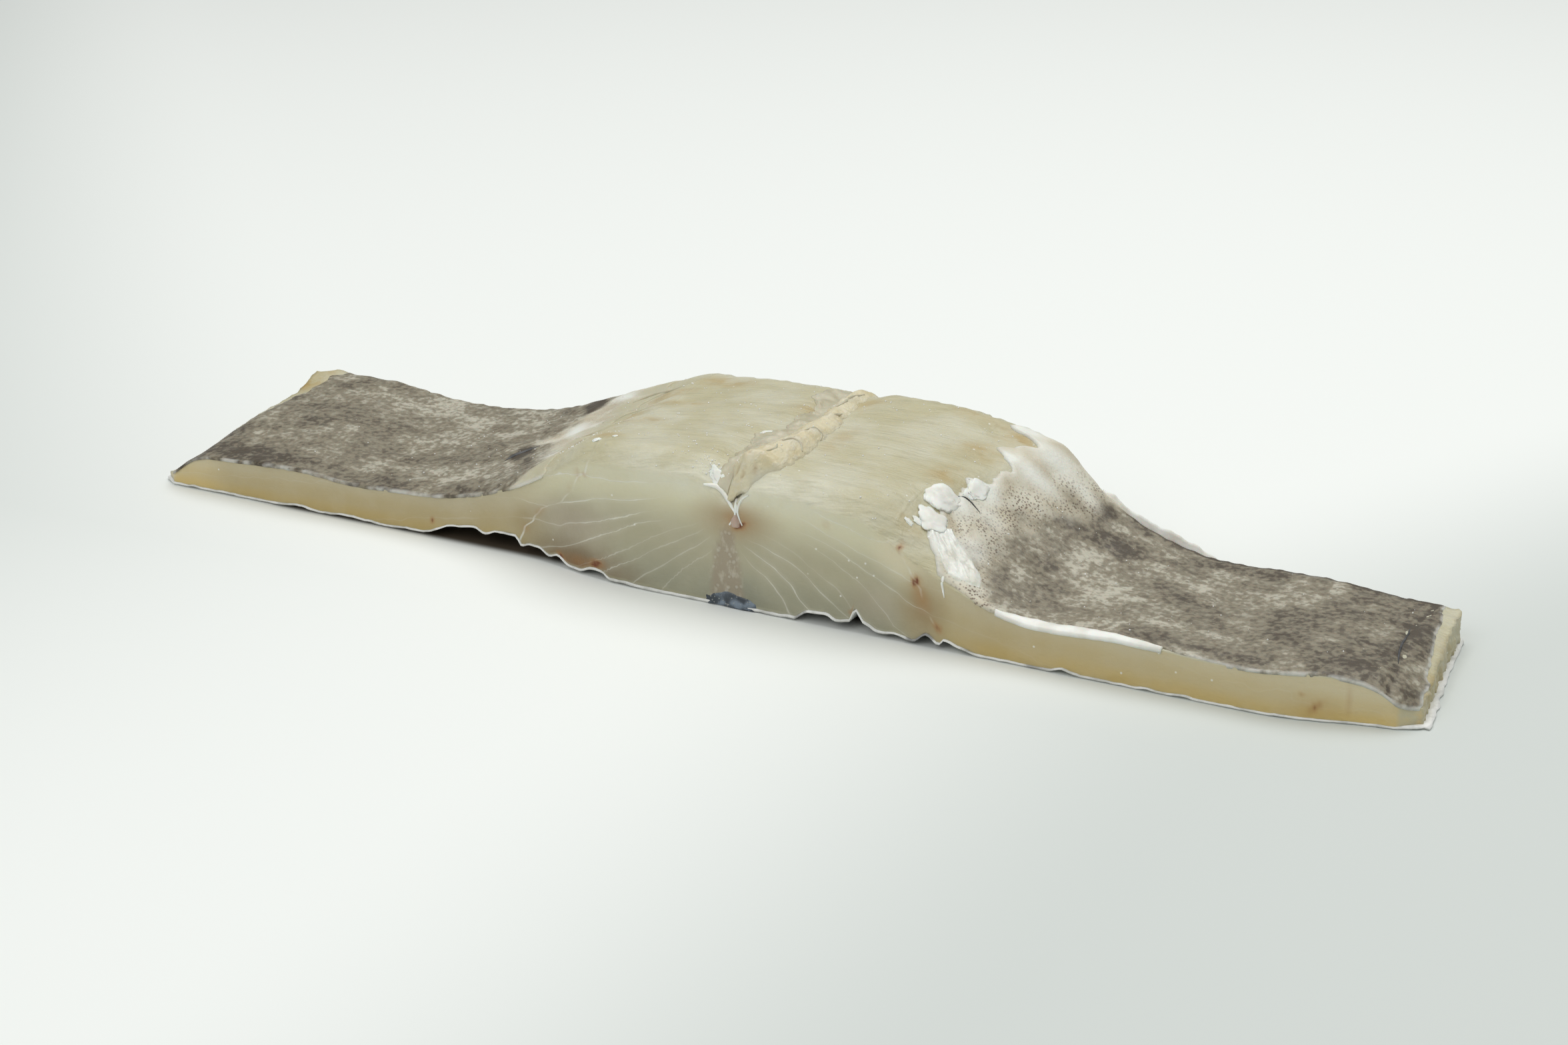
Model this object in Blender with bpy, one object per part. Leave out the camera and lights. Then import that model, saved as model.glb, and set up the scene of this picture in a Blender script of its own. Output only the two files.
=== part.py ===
"""Crosswise strip of split, salted and dried cod.

The strip is cut straight across an opened fish, so it runs from the edge of one
belly flap to the edge of the other. The skin is underneath, both cut faces stand
upright, and the thick double loin rises in the middle. It is one solid.

Frame: X runs along the strip, Y from the front cut face to the back one, Z up.
The origin is the middle of the strip's footprint, on the surface it lies on.
"""

import math

import bmesh
import bpy

mm = 0.001

# Plan: the outline seen from above
length = 380 * mm
depth_left = 77 * mm  # across the end of the left flap, from cut to cut
depth_right = 60 * mm
front_bow = 7 * mm  # the front cut stands this much further out in the right two thirds
bow_start, bow_end = -72 * mm, -24 * mm
bow_return = 152 * mm  # past this the front cut runs back in again
left_skew = 6 * mm  # the back left corner stands this much further in than the front one
right_skew = 6 * mm
corner_round = 4 * mm  # radius of the corners in plan

# Section: heights above the surface
flap_left = 11.8 * mm
flap_right = (11.8 * mm, 9.4 * mm)  # (front, back)
flap_lift = 2 * mm  # how much the left flap's back corner stands up
flap_wave = 0.6 * mm  # the flaps dried slightly wavy
wave_length = 52 * mm
crown = 39.5 * mm
crown_front, crown_back = -5 * mm, 24 * mm  # where along X the loins are highest
# How fast the top of the loins falls off beside the crown, per metre, as (front, back)
crown_fall_left, crown_fall_right = (1.6, 0.9), (1.6, 3.0)

# The ends of the flaps, as (front, back): thickness of the very edge, and the run to full thickness
left_lip, left_lip_run = (2.6 * mm, 12.0 * mm), (17 * mm, 4 * mm)
right_lip, right_lip_run = (5.0 * mm, 8.5 * mm), (14 * mm, 5 * mm)

# The two flanks of the loins, as (front, back) positions along X
left_foot = (-96 * mm, -116 * mm)
left_shoulder = (-44 * mm, -40 * mm)
right_shoulder = (45 * mm, 72 * mm)
right_foot = (98 * mm, 118 * mm)
left_power, right_power = (1.35, 1.0), (1.5, 1.5)  # above 1 a flank gets steeper as it rises

# Groove that the backbone left along the top of the loins, and the tissue in it
groove_front, groove_back = 3 * mm, 9 * mm
groove_half = 8 * mm
groove_depth = 4.5 * mm
bed_half = 4.5 * mm
bed_height = 4 * mm

# Worn edges between the top and the cut faces, as (front, back)
edge_in = (6 * mm, 2.5 * mm)
edge_drop_loin = (6 * mm, 2 * mm)
edge_drop_flap = (0.4 * mm, 0.4 * mm)

# Where the skin side lifts off the surface: (centre X, half length, height, reach from the front)
arches = (
    (-80 * mm, 24 * mm, 5.0 * mm, 26 * mm),
    (46 * mm, 20 * mm, 2.6 * mm, 22 * mm),
)

# Mesh density
columns = 84
inner_rows = 9
wall_cuts = 2


def mix(a, b, share):
    return a + (b - a) * share


def ramp(value, start, end):
    """0 at start, 1 at end, straight between."""
    return min(max((value - start) / (end - start), 0.0), 1.0)


def soft_ramp(value, start, end):
    """0 at start, 1 at end, level at both."""
    share = ramp(value, start, end)
    return share * share * (3 - 2 * share)


def bump(value, centre, half):
    """1 at the centre, falling smoothly to 0 at half on each side."""
    return 1 - soft_ramp(abs(value - centre), 0, half)


def front_edge(x):
    out = soft_ramp(x, bow_start, bow_end) - soft_ramp(x, bow_return, length / 2)
    return -front_bow * out


def back_edge(x):
    return mix(depth_left, depth_right, ramp(x, -length / 2, length / 2))


def flap_height(x, share):
    """Thickness of the flaps, coming up from a thinner lip at each end."""
    full = mix(flap_left, mix(*flap_right, share), soft_ramp(x, -length / 4, length / 4))
    full += flap_lift * share * soft_ramp(-x, length / 4, length / 2)
    full += flap_wave * math.sin(2 * math.pi * (x / wave_length + 0.35 * share))
    lip, run = (left_lip, left_lip_run) if x < 0 else (right_lip, right_lip_run)
    rise = math.sin(ramp(length / 2 - abs(x), 0, mix(*run, share)) * math.pi / 2)
    return mix(mix(*lip, share), full, rise)


def loin_height(x, share):
    """Top of the loins at X, share being 0 at the front cut and 1 at the back one."""
    centre = mix(crown_front, crown_back, share)
    fall = mix(*(crown_fall_left if x < centre else crown_fall_right), share)
    return crown - fall * (x - centre) ** 2


def hill(x, share):
    """1 on top of the loins, 0 on the flaps."""
    rising = ramp(x, mix(*left_foot, share), mix(*left_shoulder, share))
    falling = ramp(-x, -mix(*right_foot, share), -mix(*right_shoulder, share))
    return min(rising ** mix(*left_power, share), falling ** mix(*right_power, share))


def groove(x, share):
    """Depth of the backbone's groove, less the tissue that fills its middle."""
    centre = mix(groove_front, groove_back, share)
    cut = groove_depth * bump(x, centre, groove_half)
    return cut - bed_height * bump(x, centre, bed_half) * soft_ramp(share, 0.02, 0.12)


def top_height(x, share):
    height = mix(flap_height(x, share), loin_height(x, share), hill(x, share))
    return height - groove(x, share)


def underside(x, y):
    """Height of the skin side: flat on the surface, but for the arches at the front."""
    lift = 0.0
    for centre, half, height, reach in arches:
        from_front = y - front_edge(x)
        lift += height * bump(x, centre, half) * (1 - soft_ramp(from_front, 0, reach))
    return lift


def row_places(depth):
    """(distance from the front cut, shares of the front and back edge drops) for each row of the top."""
    steps = ((0.0, 1.0), (0.35, 0.45))  # (part of the way in over a worn edge, share of its drop)
    front = [(edge_in[0] * part, drop, 0.0) for part, drop in steps]
    back = [(depth - edge_in[1] * part, 0.0, drop) for part, drop in reversed(steps)]
    inner = [
        (mix(edge_in[0], depth - edge_in[1], i / (inner_rows + 1)), 0.0, 0.0)
        for i in range(inner_rows + 2)
    ]
    return front + inner + back


def place(u, row, middle_y):
    """Point of the top surface at u from 0 to 1 along the strip, on the given row."""
    x = mix(-length / 2, length / 2, u)
    inside = length / 2 - abs(x)
    rounding = 0.0
    if inside < corner_round:
        rounding = corner_round - math.sqrt(corner_round**2 - (corner_round - inside) ** 2)
    front = front_edge(x) + rounding
    back = back_edge(x) - rounding
    distance, front_drop, back_drop = row_places(back - front)[row]
    share = distance / (back - front)
    up = hill(x, share)
    drop = front_drop * mix(edge_drop_flap[0], edge_drop_loin[0], up)
    drop += back_drop * mix(edge_drop_flap[1], edge_drop_loin[1], up)
    height = top_height(x, share) - drop
    skew = -left_skew if x < 0 else right_skew
    x -= skew * share * ramp(abs(x), length / 4, length / 2)
    return x, front + distance - middle_y, height


def cod_strip():
    rows = len(row_places(depth_left)) - 1
    middle_y = (back_edge(-length / 2 + corner_round) - front_bow) / 2
    bm = bmesh.new()
    bmesh.ops.create_grid(bm, x_segments=columns, y_segments=rows, size=0.5)
    for vert in bm.verts:
        vert.co = place(vert.co.x + 0.5, round((vert.co.y + 0.5) * rows), middle_y)

    extruded = bmesh.ops.extrude_face_region(bm, geom=bm.faces[:])["geom"]
    below = [item for item in extruded if isinstance(item, bmesh.types.BMVert)]
    for vert in below:
        vert.co.z = underside(vert.co.x, vert.co.y + middle_y)
    lower = set(below)
    posts = [edge for edge in bm.edges if (edge.verts[0] in lower) != (edge.verts[1] in lower)]
    bmesh.ops.subdivide_edges(bm, edges=posts, cuts=wall_cuts, use_grid_fill=True)
    bmesh.ops.recalc_face_normals(bm, faces=bm.faces)

    mesh = bpy.data.meshes.new("cod_strip")
    bm.to_mesh(mesh)
    bm.free()
    mesh.shade_smooth()
    mesh.set_sharp_from_angle(angle=math.radians(40))
    strip = bpy.data.objects.new("cod_strip", mesh)
    bpy.context.scene.collection.objects.link(strip)
    return strip


def flesh_material():
    material = bpy.data.materials.new("salted_cod")
    material.use_nodes = True
    shader = material.node_tree.nodes["Principled BSDF"]
    shader.inputs["Base Color"].default_value = (0.56, 0.51, 0.36, 1)
    shader.inputs["Roughness"].default_value = 0.4
    shader.inputs["Metallic"].default_value = 0.0
    return material


def main():
    for old in list(bpy.data.objects):
        bpy.data.objects.remove(old)
    cod_strip().data.materials.append(flesh_material())


main()
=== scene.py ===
import math
import random

import bmesh
import bpy
from mathutils import Euler, Matrix, Vector, noise
from mathutils.bvhtree import BVHTree


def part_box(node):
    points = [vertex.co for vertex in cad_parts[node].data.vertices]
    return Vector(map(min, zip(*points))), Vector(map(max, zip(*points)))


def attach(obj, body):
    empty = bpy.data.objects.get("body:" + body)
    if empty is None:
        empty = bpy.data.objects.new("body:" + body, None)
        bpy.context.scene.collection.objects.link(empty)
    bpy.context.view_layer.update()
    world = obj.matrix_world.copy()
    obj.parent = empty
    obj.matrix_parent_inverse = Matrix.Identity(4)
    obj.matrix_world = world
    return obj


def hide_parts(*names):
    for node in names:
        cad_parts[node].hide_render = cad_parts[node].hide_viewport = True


# Salted cod: one crosswise strip, skin down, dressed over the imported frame.
# Lengths in the dictionaries are millimetres.

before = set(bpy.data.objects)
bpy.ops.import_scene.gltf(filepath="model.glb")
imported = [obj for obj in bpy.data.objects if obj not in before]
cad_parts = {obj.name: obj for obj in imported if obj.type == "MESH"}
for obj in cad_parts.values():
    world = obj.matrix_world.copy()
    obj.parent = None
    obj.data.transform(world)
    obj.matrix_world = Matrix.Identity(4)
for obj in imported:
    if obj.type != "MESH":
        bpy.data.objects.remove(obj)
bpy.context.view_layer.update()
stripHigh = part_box("cod_strip")[1]
mm = 0.001
print("frame loaded")


# small helpers

def mix(a, b, share):
    return a + (b - a) * share


def ramp(value, start, end):
    return min(max((value - start) / (end - start), 0.0), 1.0)


def softRamp(value, start, end):
    share = ramp(value, start, end)
    return share * share * (3 - 2 * share)


def bump(value, centre, half):
    return 1 - softRamp(abs(value - centre), 0, half)


def ripple(x, y, z, size, octaves=2):
    return noise.fractal(Vector((x / size, y / size, z / size)), 1.0, 2.0, octaves)


def follow(points, key):
    # soft curve through (key, value) pairs
    for (startKey, startValue), (endKey, endValue) in zip(points, points[1:]):
        if key < endKey:
            return mix(startValue, endValue, softRamp(key, startKey, endKey))
    return points[-1][1]


def blot(x, y, spots):
    # how far a point lies inside soft oval spots: (x, y, half length, half width, turn, strength)
    most = 0.0
    for spotX, spotY, halfLong, halfWide, turn, strength in spots:
        angle = math.radians(turn)
        across, up = x - spotX, y - spotY
        along = (across * math.cos(angle) + up * math.sin(angle)) / halfLong
        aside = (up * math.cos(angle) - across * math.sin(angle)) / halfWide
        value = strength * (1 - softRamp(math.hypot(along, aside), 0, 1))
        most = value if abs(value) > abs(most) else most
    return most


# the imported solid, sampled with rays (all in millimetres)

def rayTree(meshes, weld=False):
    bm = bmesh.new()
    for mesh in meshes:
        bm.from_mesh(mesh)
    if weld:
        bmesh.ops.remove_doubles(bm, verts=bm.verts, dist=1e-6)
    tree = BVHTree.FromBMesh(bm)
    bm.free()
    return tree


solidTree = rayTree([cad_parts["cod_strip"].data], weld=True)
halfLength = stripHigh.x / mm
farOff = 1.0


def wallAt(x, y, direction):
    # first wall met from outside at two heights, so that it is found under the arches too
    found = []
    for height in (1.0, 7.0):
        start = Vector((x * mm, y * mm, height * mm)) - direction * farOff
        hit = solidTree.ray_cast(start, direction)[0]
        if hit is not None:
            found.append((hit - start).dot(direction))
    if not found:
        return None
    distance = min(found) - farOff
    return (x if direction.x else y) + distance * (direction.x + direction.y) / mm


def wallReader(lowest, highest, direction, count=400):
    # finds the wall at regular steps from lowest to highest, and returns a function that reads between them
    line = []
    for i in range(count + 1):
        place = mix(lowest, highest, i / count)
        x, y = (place, 0) if direction.y else (0, place)
        line.append(wallAt(x, y, direction))
    for i in range(1, len(line)):
        line[i] = line[i - 1] if line[i] is None else line[i]
    for i in reversed(range(len(line) - 1)):
        line[i] = line[i + 1] if line[i] is None else line[i]

    def read(key):
        spot = ramp(key, lowest, highest) * count
        first = min(int(spot), count - 1)
        return mix(line[first], line[first + 1], spot - first)

    return read


backReach = halfLength - 10  # the ends slant, so the back cut stops short of the front one
frontAt = wallReader(-halfLength, halfLength, Vector((0, 1, 0)))
backAt = wallReader(-backReach, backReach, Vector((0, -1, 0)))
endFront, endBack = frontAt(-halfLength), min(backAt(-backReach), backAt(backReach)) - 3
leftAt = wallReader(endFront, endBack, Vector((1, 0, 0)))
rightAt = wallReader(endFront, endBack, Vector((-1, 0, 0)))

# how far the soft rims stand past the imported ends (y, distance out)
leftReach = ((-43, 6.0), (-38, 2.5), (-30, -1), (-20, -2.2), (0, -2.2), (18, -1.4), (30, -2.0), (40, -3.5))
rightReach = ((-43, 1.4), (-30, 0.8), (0, 0.2), (40, 0.8))


def planPoint(u, v):
    # point of the footprint, u along the strip and v from the front cut to the back one
    across = mix(endFront, endBack, v)
    x = mix(leftAt(across) - follow(leftReach, across), rightAt(across) + follow(rightReach, across), u)
    return x, mix(frontAt(x), backAt(x), v)


def surfaceOn(tree, x, y, side):
    # height where a ray from far above (side 1) or far below (side -1) meets a surface
    hit = tree.ray_cast(Vector((x * mm, y * mm, side * farOff)), Vector((0, 0, -side)))
    return hit[0].z / mm if hit[0] is not None else None


def heightOn(tree, x, y, side=1):
    # a point on the very edge is moved in a little, where the ray would miss
    for inside in (0.3, 0.6, 1.2, 2.4):
        x = min(max(x, leftAt(y) + inside), rightAt(y) - inside)
        y = min(max(y, frontAt(x) + inside), backAt(x) - inside)
        height = surfaceOn(tree, x, y, side)
        if height is not None:
            return height
    return 0.0


def newSheet(look):
    # a flat grid, and each of its points with its place in it, from 0 to 1 both ways
    bm = bmesh.new()
    bmesh.ops.create_grid(bm, x_segments=look["columns"], y_segments=look["rows"], size=0.5)
    return bm, [(vert, vert.co.x + 0.5, vert.co.y + 0.5) for vert in bm.verts]


def secondSide(bm):
    # closes a sheet with a copy of itself, and returns the copy's points, still in the same place
    extruded = bmesh.ops.extrude_face_region(bm, geom=bm.faces[:])["geom"]
    return [item for item in extruded if isinstance(item, bmesh.types.BMVert)]


def paintPoints(bm, painted):
    # painted holds, for each point in turn, a dictionary of what the shader reads there
    layers = bm.verts.layers
    for key, value in painted[0].items():
        (layers.float_color if isinstance(value, tuple) else layers.float).new(key)
    for vert, values in zip(bm.verts, painted):
        for key, value in values.items():
            vert[(layers.float_color if isinstance(value, tuple) else layers.float)[key]] = value


# skin side

skinLook = {
    "columns": 380,
    "rows": 46,
    "thick": 0.42,
    "proud": 0.4,
    "frontLift": (
        # (x, height of the skin's front edge above the surface)
        (-150, 0.2), (-140, 0.8), (-132, 0.1), (-124, 0.8), (-112, 0.1), (-98, 0.5), (-86, 4.2),
        (-80, 5.0), (-76.5, 3.6),
        (-72, 4.8), (-66, 4.9), (-64, 2.5), (-61, 3.5), (-57.5, 3.3), (-54, 1.8), (-51, 2.8), (-46, 0.5),
        (-43, 0.4),
        (-38, 1.9), (-35, 1.9), (-32, 0.4), (-14, 0), (24, 0.1), (29, 2.9), (34, 3.2), (37, 1.8),
        (41, 2.5), (42.3, 6.0),
        (45.5, 2.6), (49, 0.8), (54, 1.5), (59, 0.5), (63, 3.0), (66.4, 0.9), (68, 2.5), (72, 1.2),
        (78, 0.1), (97, 0),
        (101, 0.9), (106, 0),
    ),
    "frontReach": 11,
    "crinkle": 0.45,
    "crinkleSize": 4.2,
    "crinkleReach": 9,
    "middle": 5,  # where the dark back of the fish runs
    "lateral": 66,  # how far the pale lateral lines lie from it
}


def skinHeight(x, y):
    # underside of the skin above the surface that the strip lies on
    look = skinLook
    fromFront, fromBack = y - frontAt(x), backAt(x) - y
    base = heightOn(solidTree, x, y, -1)
    height = mix(follow(look["frontLift"], x), base, softRamp(fromFront, 0, look["frontReach"]))
    nearFront = 1 - softRamp(fromFront, 0, look["crinkleReach"])
    nearBack = 1 - softRamp(fromBack, 0, look["crinkleReach"])
    wave = max(ripple(x, 0, 3, look["crinkleSize"]), 0) * nearFront
    wave += max(ripple(x, 50, 3, look["crinkleSize"] * 1.6), 0) * 3 * nearBack
    return max(height + look["crinkle"] * wave, 0.0)


# the fan of septa in the cut faces

fanLook = {
    "centre": (4.8, 23.4),
    # each septum: how bright, how far from the centre it starts, points (x, z) from the centre outwards
    "left": (
        (0.95, 10, ((0.5, 32.7), (-3.5, 32.5), (-8, 32.1), (-18, 30.7), (-31, 29.2), (-40, 28.7),
                    (-53.5, 25.7))),
        (1.0, 20, ((-6, 28.5), (-17, 26.7), (-25, 24.8), (-34, 23.5), (-41, 20.9), (-49, 18.7),
                   (-55, 16.2), (-66, 16.2))),
        (0.8, 22, ((0, 24.8), (-8, 24.6), (-19, 22.7), (-27, 19.7), (-35, 16.7), (-41, 14.7),
                   (-50, 12.2), (-58, 12))),
        (0.75, 18, ((0, 24.4), (-6, 23.2), (-16, 20.7), (-24, 18.5), (-31, 14.7), (-37, 11.7),
                    (-43, 8.5), (-50, 6))),
        (0.45, 8, ((1, 24), (-6, 21.2), (-14, 17.7), (-21, 13.7), (-27, 10.2), (-33, 6.5))),
        (0.7, 6, ((1.5, 22.7), (-4, 19.7), (-10, 16.2), (-16, 13.2), (-23, 8.7), (-31, 4.7), (-33.5, 3))),
        (0.9, 5, ((1.5, 20.5), (-4, 16), (-10, 12), (-16, 7.5), (-21, 4.2), (-24.5, 1.5))),
        (0.85, 7, ((0.5, 15.5), (-4.5, 12), (-9, 8.5), (-13, 4.5), (-14.8, 2))),
    ),
    "right": (
        (0.75, 22, ((12, 33.7), (24, 32.2), (35, 29.7), (45, 26.7), (50, 26), (54, 26.2))),
        (0.55, 18, ((12, 31.5), (23, 29.2), (34.5, 25.5), (42, 22.7), (50, 20), (57, 17.2))),
        (0.5, 18, ((12, 27), (24, 25), (33, 23.5), (39, 20.9), (45, 17.5), (52, 14.2), (59.5, 10.5),
                   (62, 10))),
        (0.35, 20, ((12, 24.6), (26, 23.2), (32, 20.5), (39, 16.7), (44, 13.5), (49, 9), (53.5, 3.5))),
        (0.3, 9, ((7, 23.1), (13, 22.9), (22, 20), (29, 15.5), (36.5, 11.2), (41.5, 5.5))),
        (0.65, 5, ((7, 21.7), (15, 19), (22, 16.5), (28, 13.2), (32, 9.5), (38, 5))),
        (0.85, 5, ((6.5, 20.7), (12, 17), (18, 14), (23.5, 10), (26, 6.2), (29, 3.7))),
        (0.65, 7, ((6, 20.5), (9.5, 15.5), (16, 11), (19, 8), (22, 4), (23.5, 1.5))),
    ),
    "spare": 22,
}


def polarPath(points):
    # (distance, angle) along a septum as seen from the centre
    centreX, centreZ = fanLook["centre"]
    path = []
    for x, z in points:
        across, up = abs(x - centreX), z - centreZ
        path.append((math.hypot(across, up), math.degrees(math.atan2(up, across))))
    return sorted(path)


septa = {side: [(bright, start, polarPath(points)) for bright, start, points in fanLook[side]]
         for side in ("left", "right")}


def angleAt(path, distance):
    for (startOff, startAngle), (endOff, endAngle) in zip(path, path[1:]):
        if distance < endOff:
            return mix(startAngle, endAngle, ramp(distance, startOff, endOff))
    return path[-1][1]


def fanAt(x, z):
    # gives which septum, in whole numbers on the septa, the gap between them and how bright they are
    across, up = x - fanLook["centre"][0], z - fanLook["centre"][1]
    lines = septa["left" if across < 0 else "right"]
    distance = max(math.hypot(across, up), 0.8)
    angle = math.degrees(math.atan2(up, abs(across)))
    angles = [angleAt(path, distance) for bright, start, path in lines]
    for i in range(1, len(angles)):
        angles[i] = min(angles[i], angles[i - 1] - 1.0)
    brights = [bright * softRamp(distance, start, start + 10) for bright, start, path in lines]
    spare = fanLook["spare"]
    top, bottom = angles[0], angles[-1]
    angles = [top + 2 * spare, top + spare, *angles, bottom - spare, bottom - 2 * spare]
    brights = [0, 0] + brights + [0, 0]
    index = 1
    while index < len(angles) - 3 and angle < angles[index + 1]:
        index += 1
    gaps = [angles[i] - angles[i + 1] for i in range(len(angles) - 1)]
    share = (angles[index] - angle) / gaps[index]
    before = (gaps[index - 1] + gaps[index]) / 2
    after = (gaps[index] + gaps[min(index + 1, len(gaps) - 1)]) / 2
    gap = math.radians(mix(before, after, min(max(share, 0), 1))) * distance
    bright = mix(brights[index], brights[index + 1], min(max(share, 0), 1))
    return index + share - 1, gap, bright


# flesh

fleshLook = {
    "columns": 340,
    "rows": 66,
    "wallCuts": 25,
    "smoothing": 5,
    "swell": 0.35,
    "swellSize": 16,
    "grain": 0.10,
    "grainSize": (9, 2.2, 3),
    "backRag": 0.55,
    "rimRag": 0.9,
    "notch": (6.5, 5.0, 3.4, 5),  # centre, half width, depth, reach
    "backRaise": (
        (-95, 0), (-72, 2.0), (-50, 2.0), (-32, 0.8), (0, 0.3), (24, 0.8), (48, 1.6), (72, 1.4), (92, 0),
    ),
    "backReach": 26,
    # the back left corner stands up, the two front corners thin down
    "corners": ((-188, 40, 14, 16, 0, 4.6), (-196, -28, 28, 38, 0, -4.4), (196, -46, 34, 22, 0, -4.4)),
    "tan": (
        # patches on the top: (x, y, half length, half width, turn, strength)
        (-36, 5, 14, 6, 5, 1.0), (-38, -14, 12, 6, 0, 0.9), (-48, -22, 10, 6, 10, 0.7),
        (-50, -3, 12, 8, 20, 0.8),
        (-46, 16, 14, 7, 0, 0.9), (-40, -29, 9, 5, 0, 0.7), (-57, -31, 7, 5, 0, 0.6),
        (-32, 26, 14, 7, 0, 0.8),
        (53, -10, 8, 9, 0, 0.8), (54, 9, 12, 8, 30, 1.0), (60, 22, 10, 9, 0, 1.0), (48, 27, 14, 7, 0, 0.7),
        (60.5, -22, 6, 5, 70, 1.2), (2, 14, 7, 12, 0, 0.7), (14, 24, 8, 12, 0, 0.6), (21, -8, 6, 18, 0, 0.5),
        (192, 0, 11, 70, 0, 0.8), (-190, -8, 9, 46, 0, 1.1), (-186, 34, 12, 16, 0, 1.4),
        (54, -34, 8, 6, 0, 0.5),
    ),
    "lumps": (
        # low swellings and hollows on the top, the same way
        (-50, -14, 7, 3.5, 20, 1.3), (-44, -5, 6, 4, 0, -1.0), (-56, 6, 7, 4, 0, 1.2),
        (-41, -24, 6, 3.2, 0, -0.9),
        (-47, 16, 8, 4, 0, 1.1), (-60, -12, 5, 7, 0, 0.8), (-36, 9, 9, 4, 10, -0.8), (-63, 22, 8, 6, 0, 1.0),
        (61, -22, 4, 3, 70, -1.0), (54, 24, 8, 5, 0, -1.0), (56, 6, 7, 5, 0, -0.8), (47, 14, 10, 5, 15, -0.6),
        (-30, -18, 10, 5, 0, 0.5), (-18, 6, 14, 6, -8, 0.5), (33, -4, 14, 6, -6, 0.5),
        (30, 20, 12, 5, 0, -0.4),
    ),
    "faceLight": 0.80,
    # height of the front cut along the strip, which the tints are spread over
    "faceTop": (
        (-190, 5), (-180, 10), (-90, 12.5), (-68, 17), (-44, 31), (-27, 33), (26, 32.5), (44, 30),
        (64, 19), (82, 13), (150, 11.5), (184, 9),
    ),
    # the amber of the low flap tint is partly painted glow of light through the thin flesh
    "flapTints": ((172, 151, 100), (168, 153, 116), (172, 161, 132)),  # low, halfway and high, each 0 to 255
    "loinTints": ((143, 141, 121), (159, 154, 130), (194, 190, 162)),
    "flapTone": (
        (-190, 1.14), (-178, 1.12), (-162, 1.0), (-68, 0.97), (72, 1.01), (112, 1.06), (150, 1.09),
        (175, 1.13),
    ),
    "tinges": (
        # where the tints turn browner, greyer or paler: (x, z, half length, half height, turn, strength)
        ((108, 88, 64), ((-43, 0, 29, 14, 0, 1.0),)),
        ((150, 137, 120), ((-45, 14, 20, 10, 0, 0.6), (48, 8, 14, 9, 0, 0.4))),
        ((140, 119, 84), ((62, 10, 10, 14, 0, 0.8), (-62, 11, 9, 8, 30, 0.4))),
        ((140, 119, 90), ((7, 25, 18, 9, 0, 0.7),)),
        ((118, 119, 106), ((7, 3, 14, 12, 0, 0.6),)),
        ((152, 120, 68), ((166, 2.5, 12, 6, 0, 0.22),)),
        ((200, 190, 162), ((54, 23, 11, 8, -30, 0.7),)),
    ),
    "leftSeam": (
        (3, -65), (8, -63), (11.5, -59.5), (15, -57), (16.7, -54), (19.5, -48.5), (24.5, -44.5),
        (28, -43), (29.5, -40), (34, -39),
    ),
    "rightSeam": (
        (0, 69), (4.5, 66.5), (8, 64), (10.2, 62.5), (15.5, 61), (17, 59.5), (19.5, 58), (23, 56),
        (25.5, 54.5), (28.5, 53.5), (31, 51.5),
    ),
    "columnHalf": ((0, 5.5), (6, 5.0), (14, 4.2), (20, 2.0), (24, 0.8)),
    "blood": (
        # spots in the front cut: (x, z, half length, half width, turn, strength)
        (8.4, 23.6, 4.0, 1.6, 22, 1.6), (5.6, 25, 3.5, 3.5, 0, 0.4), (8, 25, 8, 7, 0, 0.3),
        (-36.5, 4.2, 4.8, 1.9, 12, 1.5), (-49.5, 3.2, 2.8, 1.8, -35, 1.2), (-44, 3.0, 11, 3.2, 0, 0.45),
        (54.6, 25.6, 1.4, 1.3, 0, 1.2), (59.6, 17.2, 1.8, 3.2, -30, 1.2), (61, 13.5, 3.5, 7.5, 20, 0.45),
        (66, 5.6, 3.2, 1.6, -50, 0.8), (41.2, 4.8, 1.5, 1.3, 0, 0.8), (33.8, 28.5, 1.4, 1.3, 0, 0.3),
        (-43, 29, 1.5, 2.6, 0, 0.4), (-46, 24, 1.2, 4, -25, 0.2), (-57, 14.5, 4, 1.6, 35, 0.3),
        (-62.5, 8, 2.2, 2, 0, 0.35), (-40.2, 28.8, 1.8, 0.9, 0, 0.6),
        (166.5, 3.6, 3.6, 1.5, 50, 0.75), (163, 6.6, 1.3, 1.0, 0, 0.5), (174, 6, 0.9, 6, 0, 0.4),
        (-94, 4.6, 1.2, 1.8, 0, 0.9),
    ),
}


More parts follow.
